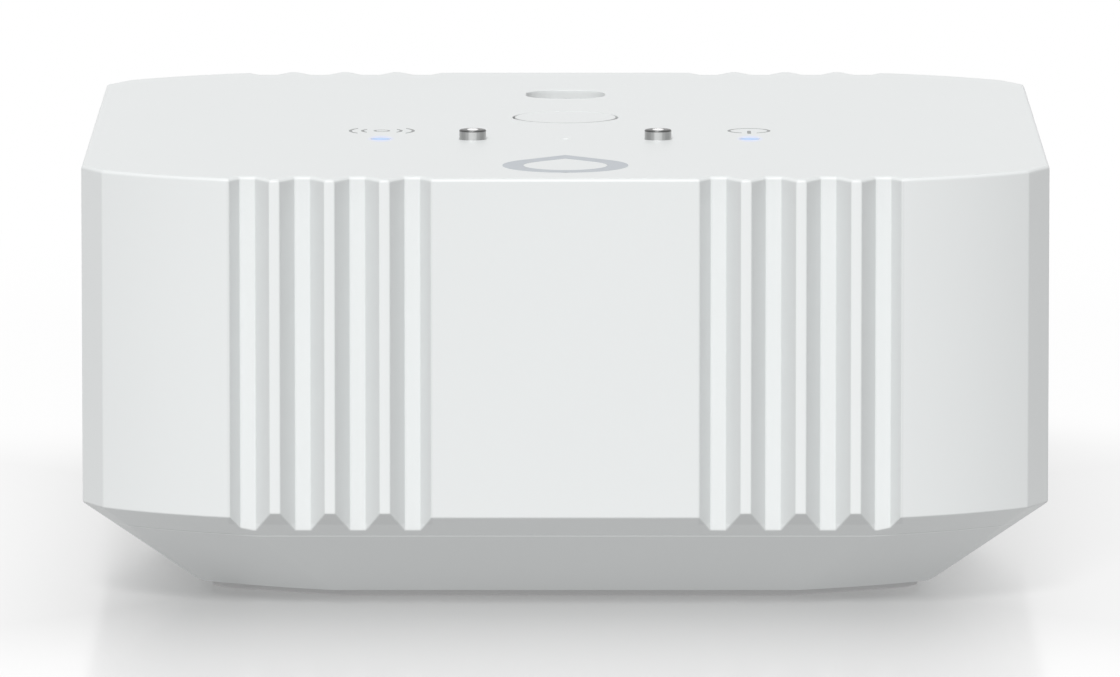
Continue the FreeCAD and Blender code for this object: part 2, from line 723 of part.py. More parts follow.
def contact_pin(side, sign):
    """A probe pin: bevelled tip, flange under the ceiling, tail in the board."""
    tail_end = f"({UNDER} + tail_gap)"
    flange_top = f"({CEILING} - washer_height - {tail_end})"
    tip = f"({TOP} + pin_rise - {tail_end})"
    return turned(f"contact_pin_{side}", [
        ("0", "0"),
        ("tail_radius", "0"),
        ("tail_radius", f"{flange_top} - pin_flange_height"),
        ("pin_flange", f"{flange_top} - pin_flange_height"),
        ("pin_flange", flange_top),
        ("pin_radius", flange_top),
        ("pin_radius", f"{tip} - pin_bevel"),
        ("pin_radius - pin_bevel", tip),
        ("0", tip),
    ], sign + "pin_x", "-pin_y", tail_end)


def pin_washers():
    """The two rubber washers that seal the pins."""
    return group("pin_washers", [
        turned(f"washer_{side}", [
            ("pin_radius + fit_gap", "0"),
            ("pin_flange", "0"),
            ("pin_flange", "washer_height"),
            ("pin_radius + fit_gap", "washer_height"),
        ], sign + "pin_x", "-pin_y", f"{CEILING} - washer_height")
        for side, sign in (("left", "-"), ("right", ""))
    ])


def light_pipe(side, sign):
    """A clear pipe from the light chip to the top face."""
    foot = f"({BOARD} + led_height + light_gap)"
    flange_top = f"({CEILING} - {foot})"
    return turned(f"light_pipe_{side}", [
        ("0", "0"),
        ("light_stem", "0"),
        ("light_stem", f"{flange_top} - light_flange_height"),
        ("light_flange", f"{flange_top} - light_flange_height"),
        ("light_flange", flange_top),
        ("light_radius", flange_top),
        ("light_radius", f"{TOP} - {foot}"),
        ("0", f"{TOP} - {foot}"),
    ], sign + "light_x", "-light_y", foot)


def status_leds():
    """A light emitting chip under each light pipe."""
    return group("status_leds", [
        box(f"led_{side}", "led_length", "led_width", "led_height", sign + "light_x", "-light_y", BOARD)
        for side, sign in (("left", "-"), ("right", ""))
    ])


def vent_membrane():
    """The porous disc that closes the sensing port from inside."""
    return cylinder(
        "vent_membrane", "membrane_radius", "membrane_thickness", y=PORT_Y,
        base=f"{CEILING} - membrane_thickness",
    )


def vent_seal():
    """The foam ring that keeps the air chip's room apart from the rest."""
    height = "(post_height - membrane_thickness)"
    return turned("vent_seal", [
        ("membrane_radius - vent_seal_wall", "0"),
        ("membrane_radius", "0"),
        ("membrane_radius", height),
        ("membrane_radius - vent_seal_wall", height),
    ], y=PORT_Y, base=BOARD)


def humidity_sensor():
    """The humidity and temperature chip, under the port and inside the foam ring."""
    return box("humidity_sensor", "air_chip_side", "air_chip_side", "air_chip_height", "0", PORT_Y, BOARD)


def radio_shield():
    """A folded metal can, open underneath."""
    outer = box(
        "shield_outer", "shield_length", "shield_width", "shield_height", "-shield_x", "shield_y", BOARD
    )
    inner = box(
        "shield_inner", "shield_length - 2 * shield_wall", "shield_width - 2 * shield_wall",
        "shield_height - shield_wall", "-shield_x", "shield_y", BOARD,
    )
    return cut_away("radio_shield", outer, [inner])


def controller_chip():
    """The controller, to the right of the button's switch."""
    return box(
        "controller_chip", "controller_side", "controller_side", "controller_height",
        "controller_x", "controller_y", BOARD,
    )


def board_chips():
    """A row of small chips behind the controller."""
    return group("board_chips", [
        box(f"chip_{index}", "chip_length", "chip_width", "chip_height",
            f"chip_x + {index} * chip_pitch", CHIP_Y, BOARD)
        for index in range(int(number("chip_count")))
    ])


def antenna():
    """An upright strip on two solder feet."""
    strip = box("antenna_strip", "antenna_length", "antenna_sheet", "antenna_height", "0", ANTENNA_Y, BOARD)
    feet = []
    for side, sign in (("left", "-"), ("right", "")):
        x = f"{sign}(antenna_length / 2 - antenna_foot / 2)"
        feet.append(box(
            f"antenna_foot_{side}", "antenna_foot", "2 * antenna_foot", "antenna_sheet", x, ANTENNA_Y, BOARD
        ))
    return join("antenna", [strip] + feet)


def reservoir_capacitor():
    """A can that stands on the board's underside, grooved near the board."""
    drawn_in = "capacitor_radius - capacitor_groove"
    groove_middle = "capacitor_height - capacitor_neck"
    return turned("reservoir_capacitor", [
        ("0", "0"),
        (drawn_in, "0"),
        ("capacitor_radius", "capacitor_groove"),
        ("capacitor_radius", f"{groove_middle} - capacitor_groove_half"),
        (drawn_in, groove_middle),
        ("capacitor_radius", f"{groove_middle} + capacitor_groove_half"),
        ("capacitor_radius", "capacitor_height"),
        ("0", "capacitor_height"),
    ], y="-capacitor_y", base=f"{UNDER} - capacitor_height")


def lying(body, x):
    """Lay a turned body along +X, its foot at x, in the battery's place."""
    body.Placement = Placement(Vector(), ALONG_X)
    place(body, x, "0", CELL_Z)
    return body


def battery_cell():
    """The lithium cell's can, with its rolled ends."""
    start = "-(cell_length + terminal_rise) / 2"
    return lying(turned("battery_cell", [
        ("0", "0"),
        ("cell_radius - can_bevel", "0"),
        ("cell_radius", "can_bevel"),
        ("cell_radius", "cell_length - can_bevel"),
        ("cell_radius - can_bevel", "cell_length"),
        ("0", "cell_length"),
    ]), start)


def battery_terminal():
    """The raised terminal on the cell's right end."""
    return lying(turned("battery_terminal", [
        ("0", "0"),
        ("terminal_radius", "0"),
        ("terminal_radius", "terminal_rise - terminal_bevel"),
        ("terminal_radius - terminal_bevel", "terminal_rise"),
        ("0", "terminal_rise"),
    ]), "(cell_length - terminal_rise) / 2")


def battery_holder():
    """A four-walled frame that hangs from the board round the cell."""
    base = f"({UNDER} - holder_height)"
    width = "2 * (cell_radius + cell_side_gap)"
    outer = box(
        "holder_outer", f"2 * ({HOLDER_HALF} + holder_wall)", f"{width} + 2 * holder_wall", "holder_height",
        base=base,
    )
    inner = box("holder_inner", f"2 * {HOLDER_HALF}", width, "holder_height", base=base)
    return cut_away("battery_holder", outer, [inner])


def battery_contact(name, sign):
    """A bowed strip between the holder's end wall and the end of the cell."""
    body = new_body(name)
    sketch = sketch_on(body, "XZ_Plane", name + "_bend")
    wall = HOLDER_HALF
    touch = f"({wall} - cell_end_room + fit_gap)"
    points = [
        (touch, CELL_Z),
        (f"{wall} - contact_sheet", f"{CELL_Z} - contact_reach"),
        (wall, f"{CELL_Z} - contact_reach"),
        (f"{touch} + contact_sheet", CELL_Z),
        (wall, f"{CELL_Z} + contact_reach"),
        (wall, UNDER),
        (f"{wall} - contact_sheet", UNDER),
        (f"{wall} - contact_sheet", f"{CELL_Z} + contact_reach"),
    ]
    if sign < 0:
        points = [(minus(x), y) for x, y in reversed(points)]
    draw(sketch, points)
    strip = body.newObject("PartDesign::Pad", name + "_strip")
    strip.Profile = sketch
    strip.Midplane = True
    bind(strip, Length="contact_width")
    return body


def build():
    form = outer_form()
    nodes = [
        top_shell(form),
        base_cover(form),
        foot_pad(),
        case_gasket(),
        case_screws(),
        main_board(),
        board_screws(),
        button_cap(),
        switch_body(),
        switch_plunger(),
        pin_washers(),
        status_leds(),
        vent_membrane(),
        vent_seal(),
        humidity_sensor(),
        radio_shield(),
        controller_chip(),
        board_chips(),
        antenna(),
        reservoir_capacitor(),
        battery_cell(),
        battery_terminal(),
        battery_holder(),
        battery_contact("positive_contact", 1),
        battery_contact("negative_contact", -1),
    ]
    for side, sign in (("left", "-"), ("right", "")):
        nodes.append(contact_pin(side, sign))
        nodes.append(light_pipe(side, sign))
    doc.recompute()
    return nodes


def check_and_export(nodes):
    """Stop at anything that failed, then write one STEP file for each node."""
    for thing in doc.Objects:
        if "Invalid" in thing.State or "Error" in thing.State:
            raise RuntimeError(f"{thing.Name} did not build: {thing.State}")
    for node in nodes:
        if node.Shape.isNull() or not node.Shape.isValid() or not node.Shape.Solids:
            raise RuntimeError(f"{node.Label} has no valid shape")
    os.makedirs("parts", exist_ok=True)
    for node in nodes:
        node.Shape.exportStep(f"parts/{node.Label}.step")
        size = node.Shape.optimalBoundingBox()
        print(f"{node.Label}: {size.XLength:.2f} x {size.YLength:.2f} x {size.ZLength:.2f},"
              f" {len(node.Shape.Solids)} solid(s), {node.Shape.Volume:.1f} mm3")


check_and_export(build())
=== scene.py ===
"""Dressed model of a small environmental sensor, built round its construction frame."""

import math
from contextlib import contextmanager

import bmesh
import bpy
from bpy.props import FloatProperty, FloatVectorProperty, PointerProperty
from bpy.types import Operator, Panel, PropertyGroup
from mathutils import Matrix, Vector


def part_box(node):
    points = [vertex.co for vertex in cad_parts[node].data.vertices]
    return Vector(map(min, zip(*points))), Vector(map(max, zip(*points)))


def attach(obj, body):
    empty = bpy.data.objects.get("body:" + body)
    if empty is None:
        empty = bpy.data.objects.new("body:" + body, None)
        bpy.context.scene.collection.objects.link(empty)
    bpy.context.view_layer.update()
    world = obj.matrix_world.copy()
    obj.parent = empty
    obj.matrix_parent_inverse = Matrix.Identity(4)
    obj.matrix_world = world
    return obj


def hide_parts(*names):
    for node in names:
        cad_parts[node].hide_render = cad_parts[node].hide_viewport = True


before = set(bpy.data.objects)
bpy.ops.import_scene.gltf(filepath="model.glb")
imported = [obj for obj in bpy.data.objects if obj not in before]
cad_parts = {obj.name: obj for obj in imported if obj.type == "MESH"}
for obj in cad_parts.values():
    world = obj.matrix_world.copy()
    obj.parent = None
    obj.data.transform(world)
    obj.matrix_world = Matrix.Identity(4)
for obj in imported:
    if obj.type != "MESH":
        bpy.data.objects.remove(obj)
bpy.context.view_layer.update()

bl_info = {
    "name": "Environmental Sensor",
    "version": (1, 0, 0),
    "blender": (4, 5, 0),
    "location": "View3D > Sidebar > Sensor",
    "description": "Builds a small environmental sensor: its case, pins, lights, button and marks",
    "category": "Object",
}

MM = 0.001
WELD = 1e-7  # points closer than this are one
BEYOND = MM  # how far a cutter reaches past what it cuts
SIDES = (-1, 1)
CORNERS = [(across, deep) for across in SIDES for deep in SIDES]
LIGHTS = ("light_pipe_left", "light_pipe_right")
PINS = ("contact_pin_left", "contact_pin_right")
CRISP_ANGLE = math.radians(11)  # edges folded by more are rounded
SMOOTH_ANGLE = math.radians(35)  # edges folded by less are shaded smooth
FACING = 0.999  # a face looks along an axis if its normal has more than this there
GROOVES = 4  # in each rib group

SCREW_PLACE = 17 * MM  # bosses, pillars and screws, from the middle both ways
PILLAR_TOP = 1.3 * MM  # where pillar and boss meet, above the seam
TRAY_FLOOR = 2 * MM  # thickness of the base tray
LIGHT_HOLE = 0.64 * MM  # radius of a light's hole in the top face
PIN_HOLE = 0.88 * MM  # the same for a contact pin
MARK_PLACE = 4.4 * MM  # status light to the middle of its mark
DROP_PLACE = -22.9 * MM  # middle of the drop mark's round part
BOARD_HALF = 24.5 * MM  # middle of the circuit board to its cut edges
CASE_GRAIN = 0.18 * MM  # grain of the case's plastic, across a spot
CASE_GRAIN_DEPTH = 0.0015 * MM
FLOOR_SIZE = 8.0  # metres, far beyond the view


def number(name, description, value, least=0.0, **more):
    return FloatProperty(name=name, description=description, default=value, min=least, **more)


def length(name, description, millimetres):
    """A length for the sidebar, given in millimetres and kept in metres."""
    return number(name, description, millimetres * MM, precision=6, unit="LENGTH")


def angle(name, description, degrees):
    return number(name, description, math.radians(degrees), -math.pi, subtype="ANGLE")


def colour(name, description, shade):
    return FloatVectorProperty(
        name=name, description=description, default=shade, min=0.0, max=1.0, size=3, subtype="COLOR"
    )


class CaseSizes(PropertyGroup):
    """Sizes of the case, the base tray and the sole pad."""

    half_width: length("Half width", "Case, middle to wall", 30.0)
    facet_in: length("Facet start", "Curved corner facet starts this far in from the side", 9.7)
    knee_in: length("Knee in", "Where curved and narrow facet meet, in from the side", 1.35)
    knee_back: length("Knee back", "Where curved and narrow facet meet, behind the front", 4.5)
    side_back: length("Side start", "Side wall starts this far behind the front", 7.1)
    corner_bulge: length("Corner bulge", "Rise of the curved corner facet", 0.51)
    taper_height: length("Taper height", "Underside, foot of the wall to the base", 5.55)
    taper_inset: length("Taper inset", "Underside, drawn in from wall to base", 7.1)
    base_facet_in: length("Base facet start", "As the facet start, at the base", 8.3)
    base_knee_in: length("Base knee in", "As the knee in, at the base", 0.65)
    base_knee_back: length("Base knee back", "As the knee back, at the base", 3.5)
    base_side_back: length("Base side start", "As the side start, at the base", 4.6)
    base_bulge: length("Base bulge", "Rise of the curved facet at the base", 0.15)
    rib_middle: length("Rib group", "Middle of a rib group from the middle of the case", 14.5)
    rib_pitch: length("Rib pitch", "Groove to groove", 3.385)
    groove_floor: length("Groove floor", "Flat floor of a groove", 0.96)
    groove_depth: length("Groove depth", "Groove floor behind the wall", 1.23)
    ridge_proud: length("Ridge proud", "Ridge tops in front of the wall", 0.4)
    groove_slope: number("Groove slope", "Sideways run of a groove's side per unit of depth", 0.55)
    pad_inset: length("Pad inset", "Sole pad's recess, in from the edge of the base", 0.8)
    top_round: length("Top rounding", "Rounding of the top edge", 0.22)
    edge_round: length("Edge rounding", "Rounding of the rib and corner edges", 0.09)
    lip_round: length("Lip rounding", "Rounding of the base tray's lip at the seam", 0.1)
    side_wall: length("Side wall", "Thickness of the wall", 2.8)
    corner_cut: length("Corner cut", "Cut corners of the room inside", 6.1)


class TopSizes(PropertyGroup):
    """Sizes of what sits in the top face."""

    port_half: length("Port", "Middle to side of the port at the back", 2.55)
    port_corner: length("Port corner", "Round corners of the port", 2.0)
    port_rim: length("Port rim", "Rounding of the port's rim", 0.06)
    button_radius: length("Button radius", "Push button's face", 3.25)
    button_gap: length("Button gap", "Gap round the push button", 0.13)
    rim_round: length("Rim rounding", "Rounding of the small holes' rims", 0.05)
    dimple_radius: length("Dimple radius", "Small dimple between the pins", 0.4)
    pin_bevel: length("Pin bevel", "Rounded edge of a contact pin", 0.1)
    # The gleam is a painted highlight; this half width also sets the ring that closes the pin's
    # end.
    pin_tip: length("Pin tip", "Half width of the gleam across a pin's end", 0.33)
    ink_line: length("Ink line", "Line width of the printed marks", 0.2)
    ink_thickness: length("Ink thickness", "Printed ink above the top face", 0.012)
    ring_radius: length("Power ring", "Middle radius of the power mark", 1.27)
    wave_radius: length("Outer wave", "Middle radius of the wireless mark's outer waves", 2.0)
    drop_radius: length("Drop radius", "Outer radius of the drop mark's round part", 3.9)
    drop_point: length("Drop point", "Tip of the drop mark from the middle of its round part", 5.5)
    drop_line: length("Drop line", "Line width of the drop mark", 1.3)


class Finishes(PropertyGroup):
    """Colours of the outer pieces."""

    case_white: colour("Case", "Moulded white plastic", (0.80, 0.82, 0.82))
    pad_grey: colour("Sole pad", "Rubber pad under the base", (0.66, 0.66, 0.66))
    steel: colour("Pins", "Turned steel of the contact pins", (0.385, 0.39, 0.387))
    light_blue: colour("Lights", "Glow of the status lights", (0.395, 0.545, 0.80))
    # Painted glow: the tint put on the case plastic round a status light, standing in for its
    # light.
    glow_tint: colour("Glow tint", "Case plastic round a status light", (0.76, 0.80, 1.0))
    ink_grey: colour("Fine ink", "Ink of the two small marks", (0.30, 0.31, 0.31))
    drop_grey: colour("Drop ink", "Ink of the drop mark", (0.50, 0.53, 0.565))
    floor_white: colour("Floor", "Studio floor", (1.0, 0.995, 0.995))


class Studio(PropertyGroup):
    """Camera and light."""

    camera_height: length("Camera height", "Above the floor", 122.1)
    camera_distance: length("Camera distance", "In front of the object's middle", 837.96)
    camera_pitch: angle("Camera pitch", "Below the horizon", 7.4)
    camera_turn: angle("Camera turn", "To the left", 0.0234)
    lens: number("Lens", "Focal length in millimetres", 425.7, 1.0)
    key_power: number("Key light", "Strength of the sun-like key", 2.22)
    key_left: angle("Key left", "Key light, left of straight ahead", 10)
    key_height: angle("Key height", "Key light, above the horizon", 45)
    room_light: number("Room light", "Even light from all round", 0.43)


def near(first, second, slack=5e-6):
    return abs(first - second) < slack


def pick_alone(piece):
    """Selects one object and nothing else."""
    bpy.ops.object.select_all(action="DESELECT")
    piece.select_set(True)
    bpy.context.view_layer.objects.active = piece


@contextmanager
def shaping(piece, kind="FACE"):
    """Edit mode on one piece, in face, edge or corner selection."""
    pick_alone(piece)
    bpy.ops.object.mode_set(mode="EDIT")
    bpy.ops.mesh.select_mode(type=kind)
    bpy.ops.mesh.select_all(action="SELECT")
    yield
    bpy.ops.object.mode_set(mode="OBJECT")


def choose(piece, kind, test):
    """Selects the piece's faces, edges or corners that pass a test."""
    bpy.ops.mesh.select_mode(type=kind)
    bpy.ops.mesh.select_all(action="DESELECT")
    mesh = bmesh.from_edit_mesh(piece.data)
    for part in {"VERT": mesh.verts, "EDGE": mesh.edges, "FACE": mesh.faces}[kind]:
        if test(part):
            part.select_set(True)
    bmesh.update_edit_mesh(piece.data)


def shift(piece, test, move):
    """Moves the piece's corners that pass a test."""
    choose(piece, "VERT", test)
    bpy.ops.transform.translate(value=move)


def choose_level(piece, level):
    """Selects the piece's edges that lie at one level."""
    choose(piece, "EDGE", lambda edge: all(near(vert.co.z, level) for vert in edge.verts))


def saw_off(point, outward):
    """Cuts the selection by a plane, drops what lies outside and closes the cut."""
    bpy.ops.mesh.bisect(
        plane_co=point, plane_no=Vector(outward).normalized(), use_fill=True, clear_outer=True,
        threshold=WELD,
    )
    bpy.ops.mesh.select_all(action="SELECT")


def round_edges(width, steps):
    bpy.ops.mesh.bevel(
        offset=width, segments=steps, profile=0.5, affect="EDGES", clamp_overlap=False
    )


def block(name, low, high):
    """A plain block between two corners."""
    low, high = Vector(low), Vector(high)
    bpy.ops.mesh.primitive_cube_add(size=1.0, location=(low + high) / 2)
    return fresh(name, high - low)


def square(name, half, low, high):
    """A square block round the middle, between two levels."""
    return block(name, (-half, -half, low), (half, half, high))


def settle(piece):
    """Puts an object's place, turn and scale into its mesh."""
    pick_alone(piece)
    bpy.ops.object.transform_apply(location=True, rotation=True, scale=True)


def fresh(name, scale=(1, 1, 1)):
    """The primitive just added: named and scaled, with its place in its mesh."""
    piece = bpy.context.object
    piece.name = piece.data.name = name
    piece.scale = scale
    settle(piece)
    return piece


def raise_rings(piece, middle, rings):
    """Raises a flat outline through rings of (half its width, height), both ends closed."""
    size, height = rings[0]
    with shaping(piece):
        for wider, higher in rings[1:]:
            rise = (0, 0, higher - height)
            bpy.ops.mesh.extrude_region_move(TRANSFORM_OT_translate={"value": rise})
            if wider != size:
                bpy.ops.transform.resize(
                    value=(wider / size, wider / size, 1), center_override=(*middle, higher)
                )
            size, height = wider, higher
        bpy.ops.mesh.select_all(action="SELECT")
        bpy.ops.mesh.normals_make_consistent(inside=False)
    return piece


def lathed(name, middle, rings, around=64):
    """A turned piece: rings are (radius, height) from its foot to its tip."""
    radius, height = rings[0]
    bpy.ops.mesh.primitive_circle_add(
        vertices=around, radius=radius, fill_type="NGON", location=(*middle, height)
    )
    return raise_rings(fresh(name), middle, rings)


def square_peg(name, middle, corner, rings):
    """An upright square piece with round corners: rings are (half its width, height)."""
    half, height = rings[0]
    bpy.ops.mesh.primitive_plane_add(size=2 * half, location=(*middle, height))
    piece = fresh(name)
    with shaping(piece, "VERT"):
        bpy.ops.mesh.bevel(offset=corner, segments=10, profile=0.5, affect="VERTICES")
    return raise_rings(piece, middle, rings)


def column(radius, low, high):
    """Rings of a plain cylinder."""
    return [(radius, low), (radius, high)]


def rounding(radius, height, width, steps=4):
    """Rings that round an upper edge inwards, or flare it outwards if the width is negative."""
    turns = [math.pi / 2 * step / steps for step in range(steps + 1)]
    return [
        (radius - width * (1 - math.cos(turn)), height - abs(width) * (1 - math.sin(turn)))
        for turn in turns
    ]


def flaring(radius, height, width):
    """Rings of a cutter that leaves a hole's upper rim rounded."""
    return rounding(radius, height, -width) + [(radius + width, height + BEYOND)]


def flanged(radii, levels, rounded, steps=4):
    """Rings of a turned piece: radii of its stem, flange and neck, and the levels between them."""
    stem, flange, neck = radii
    low, flange_low, flange_high, high = levels
    rings = column(stem, low, flange_low) + column(flange, flange_low, flange_high)
    return rings + [(neck, flange_high)] + rounding(neck, high, rounded, steps)


def combine(piece, others, operation):
    """Cuts the others out of a piece, or joins them to it."""
    for other in others:
        pick_alone(piece)
        modifier = piece.modifiers.new("combine", "BOOLEAN")
        modifier.operation = operation
        modifier.solver = "EXACT"
        modifier.object = other
        bpy.ops.object.modifier_apply(modifier=modifier.name)
        bpy.data.objects.remove(other)
    return piece


def carve(piece, *tools):
    return combine(piece, tools, "DIFFERENCE")


def weld_on(piece, *parts):
    return combine(piece, parts, "UNION")


def merge(name, pieces):
    """Joins separate pieces into one object."""
    pick_alone(pieces[0])
    for piece in pieces:
        piece.select_set(True)
    bpy.ops.object.join()
    pieces[0].name = pieces[0].data.name = name
    return pieces[0]


def twin(piece, name):
    """A copy with its own mesh."""
    pick_alone(piece)
    bpy.ops.object.duplicate()
    copy = bpy.context.object
    copy.name = copy.data.name = name
    return copy


def smooth(piece):
    """Smooth shading with flat faces kept flat up to their rounded edges."""
    with shaping(piece):
        bpy.ops.mesh.remove_doubles(threshold=WELD)
    bpy.ops.object.shade_smooth_by_angle(angle=SMOOTH_ANGLE)
    modifier = piece.modifiers.new("face_weights", "WEIGHTED_NORMAL")
    modifier.keep_sharp = True
    bpy.ops.object.modifier_apply(modifier=modifier.name)


def fit_in_place(piece, body, material, nodes=()):
    """Finishes a piece: its shading, material, body and the nodes it stands for."""
    smooth(piece)
    piece.data.materials.clear()
    piece.data.materials.append(material)
    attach(piece, body)
    if nodes:
        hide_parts(*nodes)


def flat_middle(node):
    """Middle of a node seen from above."""
    low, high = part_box(node)
    return ((low.x + high.x) / 2, (low.y + high.y) / 2)


def maths(operation, swapped=False):
    """A method that adds a Math node for an amount and the values after it."""
    def add_node(amount, *others):
        values = (*others, amount) if swapped else (amount, *others)
        node = amount.finish.node(
            "ShaderNodeMath", {"operation": operation}, dict(enumerate(values))
        )
        return Amount(amount.finish, node.outputs[0])

    return add_node


class Amount:
    """A number that varies over a surface; sums on it become Math nodes."""

    def __init__(self, finish, socket):
        self.finish = finish
        self.socket = socket

    __add__ = __radd__ = maths("ADD")
    __sub__ = maths("SUBTRACT")
    __rsub__ = maths("SUBTRACT", swapped=True)
    __mul__ = __rmul__ = maths("MULTIPLY")
    __truediv__ = maths("DIVIDE")
    __pow__ = maths("POWER")
    size = maths("ABSOLUTE")
    root = maths("SQRT")
    wave = maths("SINE")
    stepped = maths("SNAP")
    most = maths("MAXIMUM")
    least = maths("MINIMUM")

    def between(self, low, high):
        """0 at low, 1 at high and smooth between; low may be the larger."""
        node = self.finish.node(
            "ShaderNodeMapRange",
            {"interpolation_type": "SMOOTHSTEP"},
            {"Value": self, "From Min": low, "From Max": high},
        )
        return Amount(self.finish, node.outputs["Result"])


class Finish:
    """A node material under way, or the world's nodes."""

    def __init__(self, name, owner=None):
        self.material = owner or bpy.data.materials.new(name)
        self.material.use_nodes = True
        self.tree = self.material.node_tree
        self.tree.nodes.clear()
        self.place = None

    def node(self, kind, settings=None, inputs=None):
        """Adds a node: its settings first, then the values or links of its sockets."""
        node = self.tree.nodes.new(kind)
        for name, value in (settings or {}).items():
            setattr(node, name, value)
        for name, value in (inputs or {}).items():
            self.feed(self.socket(node, name), value)
        return node

    @staticmethod
    def socket(node, name):
        if isinstance(name, int):
            return node.inputs[name]
        return next(
            one for one in node.inputs if name in (one.identifier, one.name) and one.enabled
        )

    def feed(self, socket, value):
        if isinstance(value, Amount):
            value = value.socket
        if isinstance(value, bpy.types.NodeSocket):
            self.tree.links.new(value, socket)
        elif socket.type == "RGBA":
            socket.default_value = (*value, 1)
        else:
            socket.default_value = value

    def coordinates(self):
        if self.place is None:
            self.place = self.node("ShaderNodeTexCoord").outputs["Object"]
        return self.place

    def axes(self):
        """Place on the object along x, y and z, in metres."""
        node = self.node("ShaderNodeSeparateXYZ", inputs={"Vector": self.coordinates()})
        return [Amount(self, output) for output in node.outputs]

    def distance_from(self, x, y, stretch=1.0):
        """Distance from an upright line, measured shorter from front to back if stretched."""
        across, deep, _ = self.axes()
        return ((across - x) ** 2 + ((deep - y) * (1 / stretch)) ** 2).root()

    def grain(self, size, detail=3.0, stretch=(1, 1, 1)):
        """Noise between 0 and 1 with blotches of about that size."""
        mapped = self.node(
            "ShaderNodeMapping", inputs={"Vector": self.coordinates(), "Scale": stretch}
        ).outputs[0]
        node = self.node(
            "ShaderNodeTexNoise", inputs={"Vector": mapped, "Scale": 1 / size, "Detail": detail}
        )
        return Amount(self, node.outputs["Fac"])

    def blend(self, share, first, second):
        """A colour between two colours."""
        node = self.node(
            "ShaderNodeMix",
            {"data_type": "RGBA"},
            {"Factor_Float": share, "A_Color": first, "B_Color": second},
        )
        return next(one for one in node.outputs if one.identifier == "Result_Color")

    def tones(self, share, shade, low, high):
        """A colour between a shade times low and the same shade times high."""
        return self.blend(share, shaded(shade, low), shaded(shade, high))

    def seen(self, *rays):
        """1 where the camera sees it, or a ray of the kinds named, and 0 otherwise."""
        path = self.node("ShaderNodeLightPath").outputs
        seen = Amount(self, path["Is Camera Ray"])
        for ray in rays:
            seen = seen.most(Amount(self, path[f"Is {ray} Ray"]))
        return seen

    def bump(self, height, depth):
        """A surface normal from a height between 0 and 1."""
        return self.node(
            "ShaderNodeBump", inputs={"Height": height, "Distance": depth, "Strength": 1.0}
        ).outputs["Normal"]

    def surface(self, **looks):
        """The shader; names are socket names with underscores for spaces."""
        sockets = {name.replace("_", " "): value for name, value in looks.items()}
        return self.node("ShaderNodeBsdfPrincipled", inputs=sockets).outputs[0]

    def end(self, surface, kind="Material"):
        """Leads a shader to the output."""
        self.node("ShaderNodeOutput" + kind, inputs={"Surface": surface})
        return self.material

    def shine(self, **looks):
        return self.end(self.surface(**looks))


def shaded(shade, factor):
    return tuple(min(1.0, part * factor) for part in shade)


def moulded(name, shade, roughness, grain=0.25 * MM, depth=0.004 * MM):
    """Moulded plastic or rubber: a fine spark-eroded grain and slow drifts of tone and gloss."""
    finish = Finish(name)
    drift = finish.grain(9 * MM)
    fine = finish.grain(grain)
    return finish.shine(
        Base_Color=finish.tones(drift, shade, 0.96, 1.04),
        Roughness=roughness - 0.04 + drift * 0.04 + fine * 0.06,
        Normal=finish.bump(fine, depth),
    )


def case_plastic(finishes, lights, port, sizes, seam, top):
    """White plastic, with painted shade in the port and on the ribs' flanks, and a painted blue
    glow round the lights.

    It has painted light on the ribs' tops and a painted highlight on the base tray's lip at the
    seam.
    """
    shade = finishes.case_white
    finish = Finish("white_case_plastic")
    drift = finish.grain(14 * MM)
    fine = finish.grain(CASE_GRAIN)
    across, deep, height = finish.axes()
    # Painted glow: the case plastic is tinted blue round each status light, as if lit through by
    # it.
    painted_glows = [finish.distance_from(x, y, 2.2).between(0.95 * MM, 0.5 * MM) for x, y in lights]
    glow = painted_glows[0].most(painted_glows[1])
    sunk = height.between(top - 0.05 * MM, top - 0.3 * MM)
    # Painted shade in the port: darker below the top face, within the port's reach.
    painted_port_shade = sunk * finish.distance_from(*port).between(3.6 * MM, 3.3 * MM)
    from_middle = (across.size() - sizes.rib_middle).size()
    on_wall = sunk * height.between(5.4 * MM, 5.6 * MM)
    ribbed = on_wall * from_middle.between(6.4 * MM, 6.2 * MM)
    behind = sizes.half_width - deep.size()
    crest = ribbed * behind.between(-0.34 * MM, -0.38 * MM)
    # Painted shade on the sloping flanks of the ribs, between the ridge tops and the groove floors.
    flank = ribbed * behind.between(-0.38 * MM, -0.34 * MM) * behind.between(1.21 * MM, 1.17 * MM)
    below_seam = height.between(seam + 0.02 * MM, seam)
    lip = height.between(seam - 0.14 * MM, seam - 0.10 * MM) * below_seam
    on_flat = across.size().least(deep.size()).between(21 * MM, 19 * MM)
    plain = finish.tones(drift, shade, 0.99, 1.01)
    # Painted shade in the port and on the ribs' flanks.
    plain = finish.blend(painted_port_shade.most(flank), plain, shaded(shade, 0.93))
    # Painted light: the ridge tops a little lighter.
    plain = finish.blend(crest, plain, shaded(shade, 1.04))
    # Painted highlight along the base tray's lip under the seam, fainter at the corners.
    plain = finish.blend(lip * (0.25 + on_flat * 0.75), plain, shaded(shade, 1.2))
    return finish.shine(
        Base_Color=finish.blend(glow * 0.8, plain, finishes.glow_tint),
        Roughness=0.40 + drift * 0.05 + fine * 0.06,
        Normal=finish.bump(fine, CASE_GRAIN_DEPTH),
    )


def button_plastic(shade, middle, radius):
    """The case's plastic, with painted shade where the button's edge stands in its narrow gap."""
    finish = Finish("button_plastic")
    drift = finish.grain(9 * MM)
    fine = finish.grain(CASE_GRAIN)
    # Painted shade on the button's outer edge, where it stands in the gap.
    edge = finish.distance_from(*middle).between(radius - 0.07 * MM, radius - 0.03 * MM)
    plain = finish.tones(drift, shade, 0.985, 1.005)
    return finish.shine(
        Base_Color=finish.blend(edge, plain, shaded(shade, 0.6)),
        Roughness=0.42 + fine * 0.06,
        Normal=finish.bump(fine, CASE_GRAIN_DEPTH),
    )


